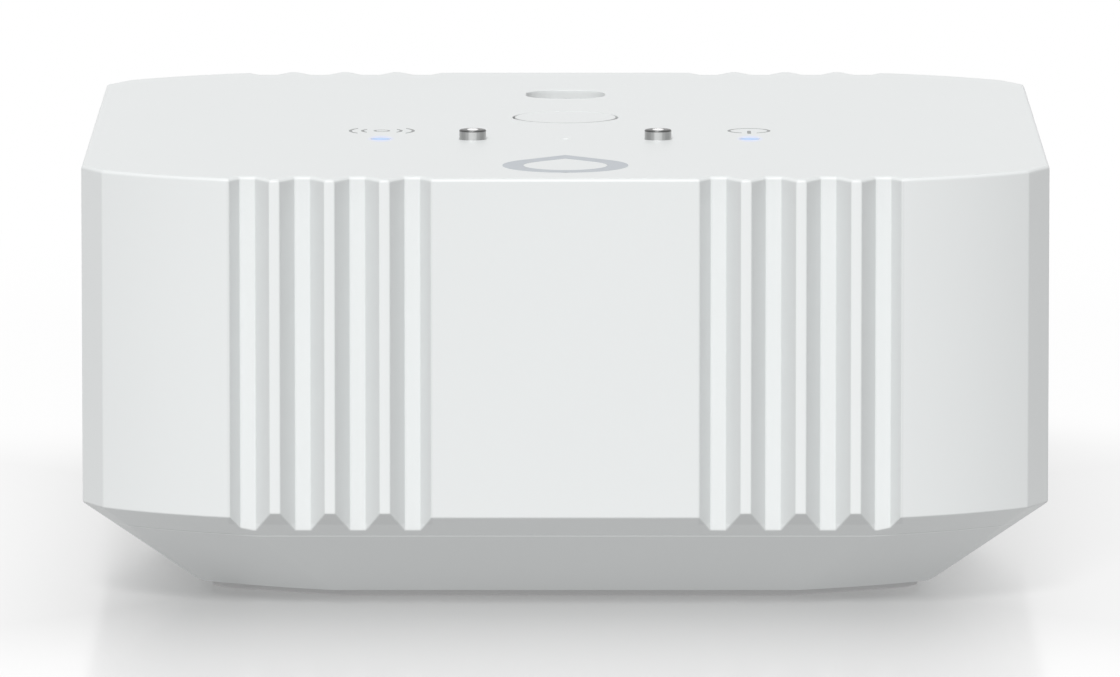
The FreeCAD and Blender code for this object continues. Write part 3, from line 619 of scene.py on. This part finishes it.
def turned_steel(shade, middle, tip, end):
    """Turned steel with painted reflections: bright and dark bands down its side, and a painted
    gleam across a painted dark end.
    """
    finish = Finish("turned_steel")
    x, y = middle
    across, deep, height = finish.axes()
    radius = finish.distance_from(x, y)
    rings = (radius * (2 * math.pi / (0.06 * MM))).wave() * 0.5 + 0.5
    streaks = finish.grain(0.5 * MM, 2.0, (1, 1, 12))
    # Painted reflections: bright bands where the side faces straight along an axis, darker bands
    # between them.
    square_on = (across - x).size().most((deep - y).size()) / radius
    tone = finish.tones(streaks, shade, 0.94, 1.06)
    tone = finish.blend(square_on.between(0.90, 0.80), tone, shaded(shade, 0.82))
    tone = finish.blend(square_on.between(0.93, 0.98), tone, shaded(shade, 1.45))
    # Painted gleam across the middle of the end, which is also smoother there, and a painted dark
    # rim round it.
    on_end = height.between(end - 0.13 * MM, end - 0.08 * MM)
    polish_and_painted_gleam = on_end * finish.distance_from(x, y, 1.9).between(tip * 1.15, tip * 0.9)
    painted_dark_rim = on_end * (1 - polish_and_painted_gleam)
    tone = finish.blend(painted_dark_rim * 0.9, tone, shaded(shade, 0.18))
    tone = finish.blend(polish_and_painted_gleam, tone, (0.95, 0.95, 0.95))
    return finish.shine(
        Base_Color=tone,
        Metallic=1.0,
        Roughness=0.34 - polish_and_painted_gleam * 0.16 + streaks * 0.05,
        Normal=finish.bump(rings * 0.2 + streaks * 0.8, 0.0002 * MM),
    )


def light_lens(shade, middles):
    """A clear pipe with pale blue light in it, whitest in its middle."""
    finish = Finish("status_light")
    radii = [finish.distance_from(x, y) for x, y in middles]
    core = radii[0].least(radii[1]).between(0.55 * MM, 0.2 * MM)
    frost = finish.grain(0.12 * MM, 2.0)
    glow = finish.tones(core, shade, 1, 1.15)
    return finish.shine(
        Base_Color=glow,
        Emission_Color=glow,
        Emission_Strength=0.12,
        Specular_IOR_Level=0.15,
        Roughness=0.35 + frost * 0.1,
        Normal=finish.bump(frost, 0.001 * MM),
    )


def printed_ink(name, shade):
    """Screen-printed ink, a little thinner here and there."""
    finish = Finish(name)
    thin = finish.grain(0.12 * MM)
    return finish.shine(
        Base_Color=finish.tones(thin, shade, 0.95, 1.06),
        Roughness=0.5 + thin * 0.1,
        Normal=finish.bump(thin, 0.001 * MM),
    )


def metal(name, shade, roughness, stretch=(1, 1, 1)):
    """Bare metal with drawn or rolled streaks and slightly dulled patches."""
    finish = Finish(name)
    streaks = finish.grain(0.3 * MM, stretch=stretch)
    dull = finish.grain(4 * MM)
    return finish.shine(
        Base_Color=finish.tones(dull, shade, 0.88, 1.05),
        Metallic=1.0,
        Roughness=roughness - 0.06 + streaks * 0.08 + dull * 0.08,
        Normal=finish.bump(streaks, 0.003 * MM),
    )


def circuit_board():
    """Green lacquer over copper tracks, with the bare glass fibre at the cut edges."""
    finish = Finish("green_lacquer")
    across, deep, _ = finish.axes()
    pitch = 1.27 * MM
    jump = finish.grain(14 * MM, 0.0).stepped(0.1) * 6
    rows = ((deep / pitch + jump) * math.pi).wave().size()
    columns = ((across / pitch + jump) * math.pi).wave().size()
    zones = finish.grain(16 * MM, 0.0).between(0.499, 0.501)
    tracks = (rows * zones + columns * (1 - zones)).between(0.80, 0.88)
    lacquer = finish.blend(tracks, (0.012, 0.085, 0.035), (0.03, 0.16, 0.06))
    at_edge = across.size().most(deep.size())
    fibre = at_edge.between(BOARD_HALF, BOARD_HALF + 0.06 * MM)
    weave = finish.grain(0.3 * MM, 2.0)
    return finish.shine(
        Base_Color=finish.blend(fibre, lacquer, (0.42, 0.40, 0.22)),
        Roughness=0.28 + weave * 0.08 + fibre * 0.3,
        Normal=finish.bump(tracks * 0.8 + weave * 0.2, 0.02 * MM),
    )


def chip_body(name, x=0.0, y=0.0, half=0.0):
    """Black moulded epoxy with a round first-pin dot."""
    finish = Finish(name)
    fine = finish.grain(0.1 * MM)
    dot = finish.distance_from(x - half * 0.7, y + half * 0.7).between(0.42 * MM, 0.36 * MM)
    epoxy = finish.blend(fine, (0.016, 0.016, 0.017), (0.03, 0.03, 0.031))
    return finish.shine(
        Base_Color=finish.blend(dot, epoxy, (0.1, 0.1, 0.1)),
        Roughness=0.5 + fine * 0.15 - dot * 0.2,
        Normal=finish.bump(fine - dot * 0.5, 0.006 * MM),
    )


def cell_sleeve():
    """A lithium cell: bare steel rims and a plain two-tone shrink sleeve between."""
    finish = Finish("cell_sleeve")
    across, _, _ = finish.axes()
    sleeve = across.between(-16.4 * MM, -16.2 * MM) * across.between(15.2 * MM, 15.0 * MM)
    band = across.between(9.0 * MM, 9.2 * MM)
    wrinkles = finish.grain(0.8 * MM, stretch=(0.3, 1, 1))
    paper = finish.blend(band, (0.10, 0.16, 0.24), (0.55, 0.57, 0.58))
    paper = finish.blend(wrinkles * 0.2, paper, (0.7, 0.7, 0.7))
    return finish.shine(
        Base_Color=finish.blend(sleeve, (0.60, 0.60, 0.58), paper),
        Metallic=1 - sleeve,
        Roughness=0.30 + wrinkles * 0.12,
        Normal=finish.bump(wrinkles, 0.02 * MM),
    )


def foam(name, shade):
    """Open-cell foam or porous membrane, with painted shade in its pores."""
    finish = Finish(name)
    pores = finish.node(
        "ShaderNodeTexVoronoi", {"feature": "F1"},
        {"Vector": finish.coordinates(), "Scale": 1 / (0.16 * MM)},
    )
    # Painted shade: darker towards the middle of each pore.
    depth = Amount(finish, pores.outputs["Distance"]).between(0.15, 0.55)
    return finish.shine(
        Base_Color=finish.tones(depth, shade, 0.6, 1),
        Roughness=0.85 - depth * 0.1,
        Normal=finish.bump(depth, 0.04 * MM),
    )


def corner_points(half, facet_in, knee_in, knee_back, side_back, bulge, steps=8):
    """Outline of one corner, front wall to side wall, as (x, distance from the middle)."""
    start = Vector((half - facet_in, half))
    knee = Vector((half - knee_in, half - knee_back))
    reach = (knee - start).length / 2
    along = (knee - start).normalized()
    outward = Vector((-along.y, along.x))
    radius = (reach * reach + bulge * bulge) / (2 * bulge)
    middle = (start + knee) / 2 - outward * (radius - bulge)
    half_turn = math.asin(reach / radius)
    points = []
    for step in range(steps + 1):
        turn = half_turn * (2 * step / steps - 1)
        points.append(middle + radius * (math.sin(turn) * along + math.cos(turn) * outward))
    return points + [Vector((half, half - side_back))]


def wall_corner(sizes):
    return corner_points(
        sizes.half_width, sizes.facet_in, sizes.knee_in, sizes.knee_back, sizes.side_back,
        sizes.corner_bulge,
    )


def base_corner(sizes, half):
    return corner_points(
        half, sizes.base_facet_in, sizes.base_knee_in, sizes.base_knee_back, sizes.base_side_back,
        sizes.base_bulge,
    )


def cut_corners(points):
    """Saws an upright block to a corner outline, at all four corners."""
    for start, end in zip(points, points[1:]):
        run = end - start
        for across, deep in CORNERS:
            saw_off((across * start.x, deep * start.y, 0), (-run.y * across, run.x * deep, 0))


def rib_lines(sizes):
    """Places across the wall where a rib group folds, as (x, depth from the wall)."""
    pitch, depth, proud = sizes.rib_pitch, sizes.groove_depth, sizes.ridge_proud
    half_floor = sizes.groove_floor / 2
    at_wall = half_floor + sizes.groove_slope * depth
    at_ridge = at_wall + sizes.groove_slope * proud
    middle_groove = (GROOVES - 1) / 2
    middles = [sizes.rib_middle + (index - middle_groove) * pitch for index in range(GROOVES)]
    lines = [(middles[0] - at_wall, 0.0)]
    for middle in middles:
        lines += [(middle - half_floor, depth), (middle + half_floor, depth)]
    for middle in middles[:-1]:
        lines += [(middle + at_ridge, -proud), (middle + pitch - at_ridge, -proud)]
    return sorted(lines)


def fold_ribs(piece, sizes, corner):
    """Folds the flat front and back walls into their rib groups."""
    wall = sizes.half_width
    lines = rib_lines(sizes)
    for x, _ in lines:
        for across in SIDES:
            choose(piece, "FACE", lambda face: abs(face.normal.y) > FACING)
            bpy.ops.mesh.bisect(plane_co=(across * x, 0, 0), plane_no=(1, 0, 0), threshold=WELD)
    for x, depth in lines:
        for deep in SIDES:
            shift(
                piece, lambda vert: near(abs(vert.co.x), x) and near(vert.co.y, deep * wall),
                (0, -deep * depth, 0),
            )

    # The last groove's outer side runs on until it meets the corner facet.
    slope, facet = sizes.groove_slope, corner[0]
    floor_end = Vector((lines[-1][0], wall - sizes.groove_depth))
    run = corner[1] - facet
    fall = run.y / run.x
    rise = (facet.y + (floor_end.x - facet.x) * fall - floor_end.y) / (1 - slope * fall)
    end = floor_end + Vector((slope * rise, rise))
    for across, deep in CORNERS:
        shift(
            piece,
            lambda vert: near(vert.co.x, across * facet.x) and near(vert.co.y, deep * facet.y),
            (across * (end.x - facet.x), deep * (end.y - facet.y), 0),
        )


def cut_taper(sizes, wall, base, foot):
    """Saws the sloping underside: four flats, and a plane for each step of a corner's outline."""
    drop = sizes.taper_height
    for x, y in ((0, -1), (0, 1), (-1, 0), (1, 0)):
        saw_off(
            (x * sizes.half_width, y * sizes.half_width, foot),
            (x * drop, y * drop, -sizes.taper_inset),
        )
    for start, end, low_start, low_end in zip(wall, wall[1:], base, base[1:]):
        run = (end - start).normalized()
        outward = Vector((-run.y, run.x))
        inset = ((start + end) / 2 - (low_start + low_end) / 2).dot(outward)
        for across, deep in CORNERS:
            saw_off(
                (across * start.x, deep * start.y, foot),
                (outward.x * drop * across, outward.y * drop * deep, -inset),
            )


def outer_form(sizes, base, top):
    """The whole outside: ribbed wall, sloping underside and rounded edges."""
    wall = sizes.half_width
    form = square("outer_form", wall, base, top)
    corner = wall_corner(sizes)
    with shaping(form):
        cut_corners(corner)
        fold_ribs(form, sizes, corner)
        bpy.ops.mesh.select_all(action="SELECT")
        low_corner = base_corner(sizes, wall - sizes.taper_inset)
        cut_taper(sizes, corner, low_corner, base + sizes.taper_height)
        bpy.ops.mesh.normals_make_consistent(inside=False)
        choose_level(form, top)
        round_edges(sizes.top_round, 5)
        rounded = top - sizes.top_round

        def is_crisp(edge):
            level = near(edge.verts[0].co.z, edge.verts[1].co.z)
            in_rounding = level and edge.verts[0].co.z > rounded - WELD * 10
            return edge.calc_face_angle(0.0) > CRISP_ANGLE and not in_rounding

        choose(form, "EDGE", is_crisp)
        round_edges(sizes.edge_round, 2)
    return form


def side_of_seam(form, name, seam, upward, lip):
    """The form above or below the seam, with its lip rounded."""
    part = twin(form, name)
    with shaping(part):
        saw_off((0, 0, seam), (0, 0, -upward))
        choose_level(part, seam)
        round_edges(lip, 2)
    return part


def room(name, half, corner_cut, low, high, low_half=None):
    """A square block with cut corners, narrower at its foot if asked."""
    piece = square(name, half, low, high)
    with shaping(piece):
        for across, deep in CORNERS:
            saw_off((across * (half - corner_cut), deep * half, 0), (across, deep, 0))
        if low_half:
            inward = low_half - half
            for across, deep in CORNERS:
                shift(
                    piece,
                    lambda vert: near(vert.co.z, low)
                    and vert.co.x * across > 0 and vert.co.y * deep > 0,
                    (across * inward, deep * inward, 0),
                )
    return piece


def four_posts(name, x, y, rings):
    """One turned piece for each corner."""
    return [lathed(name, (across * x, deep * y), rings, 32) for across, deep in CORNERS]


def at_screws(name, rings):
    return four_posts(name, SCREW_PLACE, SCREW_PLACE, rings)


def along_saddles(name, half_long, play):
    """A cylinder a little wider than the cell, lying where the cell lies."""
    low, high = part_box("battery_cell")
    radius = (high.z - low.z) / 2 + play
    piece = lathed(name, (0, 0), column(radius, -half_long, half_long), 96)
    piece.rotation_euler = (0, math.pi / 2, 0)
    piece.location = (0, 0, (low.z + high.z) / 2)
    settle(piece)
    return piece


class SENSOR_OT_case(Operator):
    """Build the case shell, the base tray and the sole pad"""

    bl_idname = "sensor.case"
    bl_label = "Case"

    def execute(self, context):
        sizes = context.scene.sensor_case
        top_sizes = context.scene.sensor_top
        finishes = context.scene.sensor_finishes
        shell_low, shell_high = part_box("top_shell")
        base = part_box("base_cover")[0].z
        seam, top = shell_low.z, shell_high.z
        lights = [flat_middle(node) for node in LIGHTS]
        port = flat_middle("vent_membrane")
        white = case_plastic(finishes, lights, port, sizes, seam, top)

        form = outer_form(sizes, base, top)
        shell = side_of_seam(form, "case_shell", seam, 1, sizes.lip_round / 8)
        tray = side_of_seam(form, "base_tray", seam, -1, sizes.lip_round)
        bpy.data.objects.remove(form)
        self.hollow_shell(shell, sizes, seam)
        self.open_top(shell, top_sizes, top, lights)
        self.shape_tray(tray, sizes, base, seam)
        fit_in_place(shell, "housing", white, ["top_shell"])
        fit_in_place(tray, "housing", white, ["base_cover"])
        self.sole_pad(sizes, finishes.pad_grey)
        return {"FINISHED"}

    def hollow_shell(self, shell, sizes, seam):
        """The room inside, with the screw bosses and the board's posts left standing."""
        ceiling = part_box("vent_membrane")[1].z
        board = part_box("main_board")[1]
        inner = sizes.half_width - sizes.side_wall
        boss_radius, post_radius = 3 * MM, 1.9 * MM
        post_x, post_y = 9 * MM, board.y - 2 * MM
        hollow = room("room", inner, sizes.corner_cut, seam - BEYOND, ceiling)
        boss = column(boss_radius, seam + PILLAR_TOP, ceiling + BEYOND)
        post = column(post_radius, board.z, ceiling + BEYOND)
        carve(hollow, *at_screws("boss", boss))
        carve(hollow, *four_posts("post", post_x, post_y, post))
        carve(shell, hollow)

    def open_top(self, shell, sizes, top, lights):
        """Port, button hole, pin and light holes and the dimple, each with a rounded rim."""
        under = top - 4 * MM
        rings = [(sizes.port_half, under)] + flaring(sizes.port_half, top, sizes.port_rim)
        carve(shell, square_peg("port", flat_middle("vent_membrane"), sizes.port_corner, rings))
        button_hole = sizes.button_radius + sizes.button_gap
        holes = [("button_cap", button_hole, sizes.rim_round, 96)]
        holes += [(node, LIGHT_HOLE, sizes.rim_round * 0.6, 48) for node in LIGHTS]
        holes += [(node, PIN_HOLE, sizes.rim_round, 48) for node in PINS]
        for node, radius, rim, around in holes:
            rings = [(radius, under)] + flaring(radius, top, rim)
            carve(shell, lathed("hole", flat_middle(node), rings, around))
        wall, bottom = sizes.dimple_radius * 0.6, sizes.dimple_radius * 0.3
        rings = [(bottom, top - 0.12 * MM), (wall, top - 0.08 * MM)]
        rings += flaring(wall, top, sizes.dimple_radius * 0.4)[2:]
        carve(shell, lathed("dimple", (0, lights[0][1]), rings, 32))

    def shape_tray(self, tray, sizes, base, seam):
        """The tray's hollow, its skirt, screw pillars, battery saddles and the pad's recess."""
        inner = sizes.half_width - sizes.side_wall
        floor = base + TRAY_FLOOR
        mouth, foot, cut = inner - 2.8 * MM, inner - 7 * MM, 4.9 * MM
        above = mouth + (mouth - foot) / (seam - floor) * BEYOND
        carve(tray, room("tray_room", above, cut, floor, seam + BEYOND, foot))
        root = floor - 0.5 * MM
        pillar_radius = 3.4 * MM
        pillars = at_screws("pillar", column(pillar_radius, root, seam + PILLAR_TOP))
        saddle_x, thick, wide, crest = 10 * MM, 0.8 * MM, 7 * MM, floor + 2.55 * MM
        saddles = [
            block("saddle", (x - thick, -wide, root), (x + thick, wide, crest))
            for x in (-saddle_x, saddle_x)
        ]
        weld_on(tray, self.skirt(sizes, inner - 0.15 * MM, seam), *pillars, *saddles)
        carve(tray, along_saddles("cell_room", 12 * MM, 0.05 * MM))
        head_radius, way_radius, head_level = 2.2 * MM, 1.15 * MM, base + 2.75 * MM
        way = column(head_radius, base - BEYOND, head_level)
        way += column(way_radius, head_level, seam + 2 * MM)
        carve(tray, *at_screws("screw_way", way))
        recess = base + 0.35 * MM
        carve(tray, self.pad_block(sizes, "pad_room", sizes.pad_inset, base - BEYOND, recess))

    def skirt(self, sizes, half, seam):
        """The skirt that stands inside the case's wall, with its seal groove."""
        cut = sizes.corner_cut
        thick, groove_deep = 1.6 * MM, 0.85 * MM
        groove_low, groove_high, above = seam + 0.85 * MM, seam + 1.8 * MM, seam + 3 * MM
        skirt = room("skirt", half, cut, seam - 0.2 * MM, seam + 2.6 * MM)
        groove = room("groove", half + BEYOND, cut, groove_low, groove_high)
        carve(groove, room("groove_floor", half - groove_deep, cut, seam, above))
        carve(skirt, groove)
        return carve(skirt, room("skirt_room", half - thick, cut, seam - BEYOND, above))

    def pad_block(self, sizes, name, inset, low, high):
        """A block in the base's outline, drawn in."""
        half = sizes.half_width - sizes.taper_inset - inset
        piece = square(name, half, low, high)
        with shaping(piece):
            cut_corners(base_corner(sizes, half))
        return piece

    def sole_pad(self, sizes, shade):
        low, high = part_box("foot_pad")
        play, lower_round = 0.05 * MM, 0.12 * MM
        pad = self.pad_block(sizes, "sole_pad", sizes.pad_inset + play, low.z, high.z)
        with shaping(pad):
            choose_level(pad, low.z)
            round_edges(lower_round, 3)
        rubber = moulded("pad_rubber", shade, 0.7, 0.2 * MM, 0.01 * MM)
        fit_in_place(pad, "housing", rubber, ["foot_pad"])


class SENSOR_OT_top_parts(Operator):
    """Build the push button, the contact pins and the status lights"""

    bl_idname = "sensor.top_parts"
    bl_label = "Top parts"

    def execute(self, context):
        sizes = context.scene.sensor_top
        finishes = context.scene.sensor_finishes
        self.push_button(sizes, finishes.case_white)
        lens = light_lens(finishes.light_blue, [flat_middle(node) for node in LIGHTS])
        for name, pin, light in zip(("left", "right"), PINS, LIGHTS):
            self.contact_pin(f"{name}_contact", pin, sizes, finishes.steel)
            self.status_light(f"{name}_light", light, lens)
        return {"FINISHED"}

    def push_button(self, sizes, shade):
        low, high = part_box("button_cap")
        middle = flat_middle("button_cap")
        flange_low = low.z + 0.85 * MM
        radii = (1.2 * MM, 4.3 * MM, sizes.button_radius)
        levels = (low.z, flange_low, flange_low + 0.6 * MM, high.z)
        button = lathed("push_button", middle, flanged(radii, levels, sizes.rim_round), 96)
        plastic = button_plastic(shade, middle, sizes.button_radius)
        fit_in_place(button, "button", plastic, ["button_cap"])

    def contact_pin(self, name, node, sizes, shade):
        low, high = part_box(node)
        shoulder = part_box("pin_washers")[0].z
        radii = (0.5 * MM, 1.5 * MM, 0.85 * MM)
        levels = (low.z, shoulder - 0.7 * MM, shoulder, high.z)
        rings = flanged(radii, levels, sizes.pin_bevel) + [(sizes.pin_tip, high.z)]
        pin = lathed(name, flat_middle(node), rings)
        steel = turned_steel(shade, flat_middle(node), sizes.pin_tip, high.z)
        fit_in_place(pin, "housing", steel, [node])

    def status_light(self, name, node, lens):
        low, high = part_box(node)
        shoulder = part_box("vent_membrane")[1].z
        radii = (0.9 * MM, 1.3 * MM, 0.585 * MM)
        levels = (low.z, shoulder - 0.5 * MM, shoulder, high.z)
        rings = flanged(radii, levels, 0.04 * MM, 2)
        light = lathed(name, flat_middle(node), rings, 48)
        fit_in_place(light, "housing", lens, [node])


class SENSOR_OT_marks(Operator):
    """Print the wireless, power and drop marks on the top face"""

    bl_idname = "sensor.marks"
    bl_label = "Printed marks"

    def execute(self, context):
        sizes = context.scene.sensor_top
        finishes = context.scene.sensor_finishes
        fine_ink = printed_ink("fine_grey_ink", finishes.ink_grey)
        pale_ink = printed_ink("pale_grey_ink", finishes.drop_grey)
        left, right = [self.mark_place(node) for node in LIGHTS]
        fit_in_place(self.wireless_mark(left, sizes), "housing", fine_ink)
        fit_in_place(self.power_mark(right, sizes), "housing", fine_ink)
        fit_in_place(self.drop_mark(sizes), "housing", pale_ink)
        return {"FINISHED"}

    def mark_place(self, node):
        """Middle of the small mark that stands behind a status light."""
        x, y = flat_middle(node)
        return x, y + MARK_PLACE

    def band(self, name, middle, radius, line, sizes, around=64):
        """A flat printed ring."""
        bpy.ops.mesh.primitive_torus_add(
            major_radius=radius, minor_radius=line / 2, major_segments=around, minor_segments=8,
            location=(*middle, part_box("top_shell")[1].z),
        )
        return fresh(name, (1, 1, 2 * sizes.ink_thickness / line))

    def slab(self, name, low, high, thickness):
        """A block that reaches as far above the top face as below it."""
        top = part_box("top_shell")[1].z
        return block(name, (*low, top - thickness), (*high, top + thickness))

    def gap(self, middle, half_across, front, back):
        """A cutter for the openings of the small marks."""
        x, y = middle
        return self.slab("gap", (x - half_across, y + front), (x + half_across, y + back), BEYOND)

    def wireless_mark(self, middle, sizes):
        """A small ring between two pairs of waves."""
        outer, line = sizes.wave_radius, sizes.ink_line
        reach = outer + line
        pieces = []
        for radius in (outer, outer * 0.615):
            wave = self.band("wave", middle, radius, line, sizes)
            pieces.append(carve(wave, self.gap(middle, radius * 0.76, -reach, reach)))
        pieces.append(self.band("ring", middle, 0.46 * MM, line * 0.8, sizes, 40))
        return merge("wireless_mark", pieces)

    def power_mark(self, middle, sizes):
        """A ring open at the front, and a bar in the opening."""
        x, y = middle
        half, opening = sizes.ink_line * 0.6, 0.47 * MM
        front, back = y - 1.65 * MM, y - 0.1 * MM
        ring = self.band("ring", middle, sizes.ring_radius, sizes.ink_line, sizes)
        carve(ring, self.gap(middle, opening, -2 * MM, 0))
        bar = self.slab("bar", (x - half, front), (x + half, back), sizes.ink_thickness)
        with shaping(bar):
            choose(
                bar, "EDGE",
                lambda edge: near((edge.verts[0].co - edge.verts[1].co).xy.length, 0),
            )
            round_edges(half * 0.8, 3)
        return merge("power_mark", [ring, bar])

    def drop_mark(self, sizes):
        """A plain drop outline, pointed towards the back."""
        radius, point, thickness = sizes.drop_radius, sizes.drop_point, sizes.ink_thickness
        narrower = radius - sizes.drop_line
        inside = self.drop_plate("drop_inside", narrower, point * narrower / radius, 2 * thickness)
        return carve(self.drop_plate("drop_mark", radius, point, thickness), inside)

    def drop_plate(self, name, radius, point, thickness, cuts=72):
        """A thin plate sawn to a drop's outline: a circle and its tangents through the tip."""
        y = DROP_PLACE
        lean = math.asin(radius / point)
        plate = self.slab(name, (-radius, y - radius), (radius, y + point), thickness)
        with shaping(plate):
            for step in range(cuts + 1):
                turn = lean - (math.pi + 2 * lean) * step / cuts
                outward = Vector((math.cos(turn), math.sin(turn), 0))
                saw_off(Vector((0, y, 0)) + radius * outward, outward)
            bpy.ops.mesh.normals_make_consistent(inside=False)
        return plate


class SENSOR_OT_inside(Operator):
    """Give the parts inside their finishes"""

    bl_idname = "sensor.inside"
    bl_label = "Inside finishes"

    def execute(self, context):
        rubber = moulded("seal_rubber", (0.03, 0.03, 0.032), 0.6, 0.2 * MM, 0.008 * MM)
        tinned = metal("tinned_sheet", (0.72, 0.73, 0.74), 0.32)
        spring = metal("nickel_spring", (0.66, 0.62, 0.54), 0.26, (1, 1, 0.15))
        screw = metal("zinc_screw", (0.58, 0.60, 0.62), 0.3, (1, 1, 8))
        chip_low, chip_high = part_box("controller_chip")
        chip_half = (chip_high.x - chip_low.x) / 2
        looks = {
            "case_gasket": rubber,
            "pin_washers": rubber,
            "case_screws": screw,
            "board_screws": screw,
            "main_board": circuit_board(),
            "switch_body": moulded("switch_plastic", (0.035, 0.035, 0.04), 0.45),
            "switch_plunger": moulded("plunger_plastic", (0.55, 0.54, 0.50), 0.4),
            "status_leds": moulded("led_body", (0.75, 0.76, 0.70), 0.35),
            "vent_membrane": foam("porous_membrane", (0.80, 0.80, 0.79)),
            "vent_seal": foam("seal_foam", (0.07, 0.07, 0.075)),
            "humidity_sensor": metal("sensor_lid", (0.63, 0.61, 0.55), 0.35),
            "radio_shield": tinned,
            "antenna": tinned,
            "controller_chip": chip_body("chip_epoxy", *flat_middle("controller_chip"), chip_half),
            "board_chips": chip_body("small_chip_epoxy"),
            "reservoir_capacitor": metal("capacitor_can", (0.74, 0.75, 0.77), 0.3, (1, 1, 6)),
            "battery_cell": cell_sleeve(),
            "battery_terminal": metal("cell_terminal", (0.68, 0.67, 0.63), 0.28),
            "battery_holder": moulded("holder_plastic", (0.025, 0.025, 0.027), 0.5),
            "positive_contact": spring,
            "negative_contact": spring,
        }
        for name, material in looks.items():
            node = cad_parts[name]
            if node.material_slots:
                for slot in node.material_slots:
                    slot.material = material
            else:
                node.data.materials.append(material)
        return {"FINISHED"}


class SENSOR_OT_stage(Operator):
    """Set the camera, the light, the white background and the glossy floor"""

    bl_idname = "sensor.stage"
    bl_label = "Stage"

    def execute(self, context):
        studio = context.scene.sensor_studio
        self.camera(context.scene, studio)
        self.key_light(studio)
        self.surroundings(context.scene, studio)
        self.floor(context.scene.sensor_finishes.floor_white)
        context.scene.view_settings.view_transform = "Standard"
        return {"FINISHED"}

    def camera(self, scene, studio):
        bpy.ops.object.camera_add(
            location=(0, -studio.camera_distance, studio.camera_height),
            rotation=(math.pi / 2 - studio.camera_pitch, 0, studio.camera_turn),
        )
        camera = bpy.context.object
        camera.data.lens = studio.lens
        camera.data.sensor_width = 36
        camera.data.clip_start = 0.05
        camera.data.clip_end = 30
        scene.camera = camera

    def key_light(self, studio):
        level = math.cos(studio.key_height)
        left, ahead = math.sin(studio.key_left) * level, math.cos(studio.key_left) * level
        towards = Vector((-left, -ahead, math.sin(studio.key_height)))
        bpy.ops.object.light_add(type="SUN", rotation=towards.to_track_quat("Z", "Y").to_euler())
        sun = bpy.context.object.data
        sun.energy = studio.key_power
        sun.angle = math.radians(18)

    def surroundings(self, scene, studio):
        """White where the camera, a reflection or a clear piece sees it; room light otherwise."""
        scene.world = scene.world or bpy.data.worlds.new("room")
        finish = Finish("room", scene.world)
        seen = finish.seen("Glossy", "Transmission")
        strength = studio.room_light + seen * (1 - studio.room_light)
        background = finish.node(
            "ShaderNodeBackground", inputs={"Color": (1, 1, 1), "Strength": strength}
        )
        finish.end(background.outputs[0], "World")

    def floor(self, shade):
        """A glossy floor, lit by itself where it is seen, with a painted shadow round the object
        and a painted glow near it for other rays.
        """
        bpy.ops.mesh.primitive_plane_add(size=FLOOR_SIZE)
        floor = fresh("studio_floor")
        finish = Finish("glossy_white_floor")
        drift = finish.grain(40 * MM, 2.0)
        across, deep, _ = finish.axes()
        away = across.size().most(deep.size())
        seen = finish.seen("Glossy")
        # Painted glow: near the object the floor gives other rays white light over a darker colour,
        # which lights the object's underside.
        close = away.between(100 * MM, 60 * MM)
        bounced = finish.tones(close, shade, 0.54, 0.15)
        # Painted shadow: the floor that the camera and reflections see is darker near the object.
        seen_floor_with_painted_shadow = finish.tones(away.between(18 * MM, 58 * MM), shade, 0.38, 1)
        gloss = finish.surface(
            Base_Color=finish.blend(seen, bounced, seen_floor_with_painted_shadow), Roughness=0.14 + drift * 0.03, IOR=1.6
        )
        white = finish.node("ShaderNodeEmission", inputs={"Color": (1, 1, 1), "Strength": 1.0})
        middle = finish.distance_from(0, 0)
        # Painted light: white added to the seen floor, a little near the object and more beside it;
        # far off the floor is plain white.
        beside = (across + 2 * MM).size().between(20 * MM, 36 * MM)
        lit = 0.17 + (beside * 0.45).most(middle.between(60 * MM, 170 * MM) * 0.83)
        share = seen * lit + (1 - seen) * close * 0.45
        mixed = finish.node("ShaderNodeMixShader", inputs={0: share, 1: gloss, 2: white.outputs[0]})
        floor.data.materials.append(finish.end(mixed.outputs[0]))


class SENSOR_PT_panel(Panel):
    """The sensor's steps and sizes in the sidebar"""

    bl_idname = "SENSOR_PT_panel"
    bl_label = "Environmental sensor"
    bl_space_type = "VIEW_3D"
    bl_region_type = "UI"
    bl_category = "Sensor"

    def draw(self, context):
        for step in STEPS:
            self.layout.operator(step.bl_idname)
        for name in GROUPS:
            group = getattr(context.scene, name)
            box = self.layout.box()
            box.label(text=type(group).__doc__)
            for field in group.bl_rna.properties:
                if field.identifier in type(group).__annotations__:
                    box.prop(group, field.identifier)


GROUPS = {
    "sensor_case": CaseSizes,
    "sensor_top": TopSizes,
    "sensor_finishes": Finishes,
    "sensor_studio": Studio,
}
STEPS = (SENSOR_OT_case, SENSOR_OT_top_parts, SENSOR_OT_marks, SENSOR_OT_inside, SENSOR_OT_stage)
CLASSES = (*GROUPS.values(), *STEPS, SENSOR_PT_panel)


def register():
    for one in CLASSES:
        bpy.utils.register_class(one)
    for name, group in GROUPS.items():
        setattr(bpy.types.Scene, name, PointerProperty(type=group))


def unregister():
    for name in GROUPS:
        delattr(bpy.types.Scene, name)
    for one in reversed(CLASSES):
        bpy.utils.unregister_class(one)


def main():
    register()
    bpy.ops.sensor.case()
    bpy.ops.sensor.top_parts()
    bpy.ops.sensor.marks()
    bpy.ops.sensor.inside()
    bpy.ops.sensor.stage()


if __name__ == "__main__":
    main()
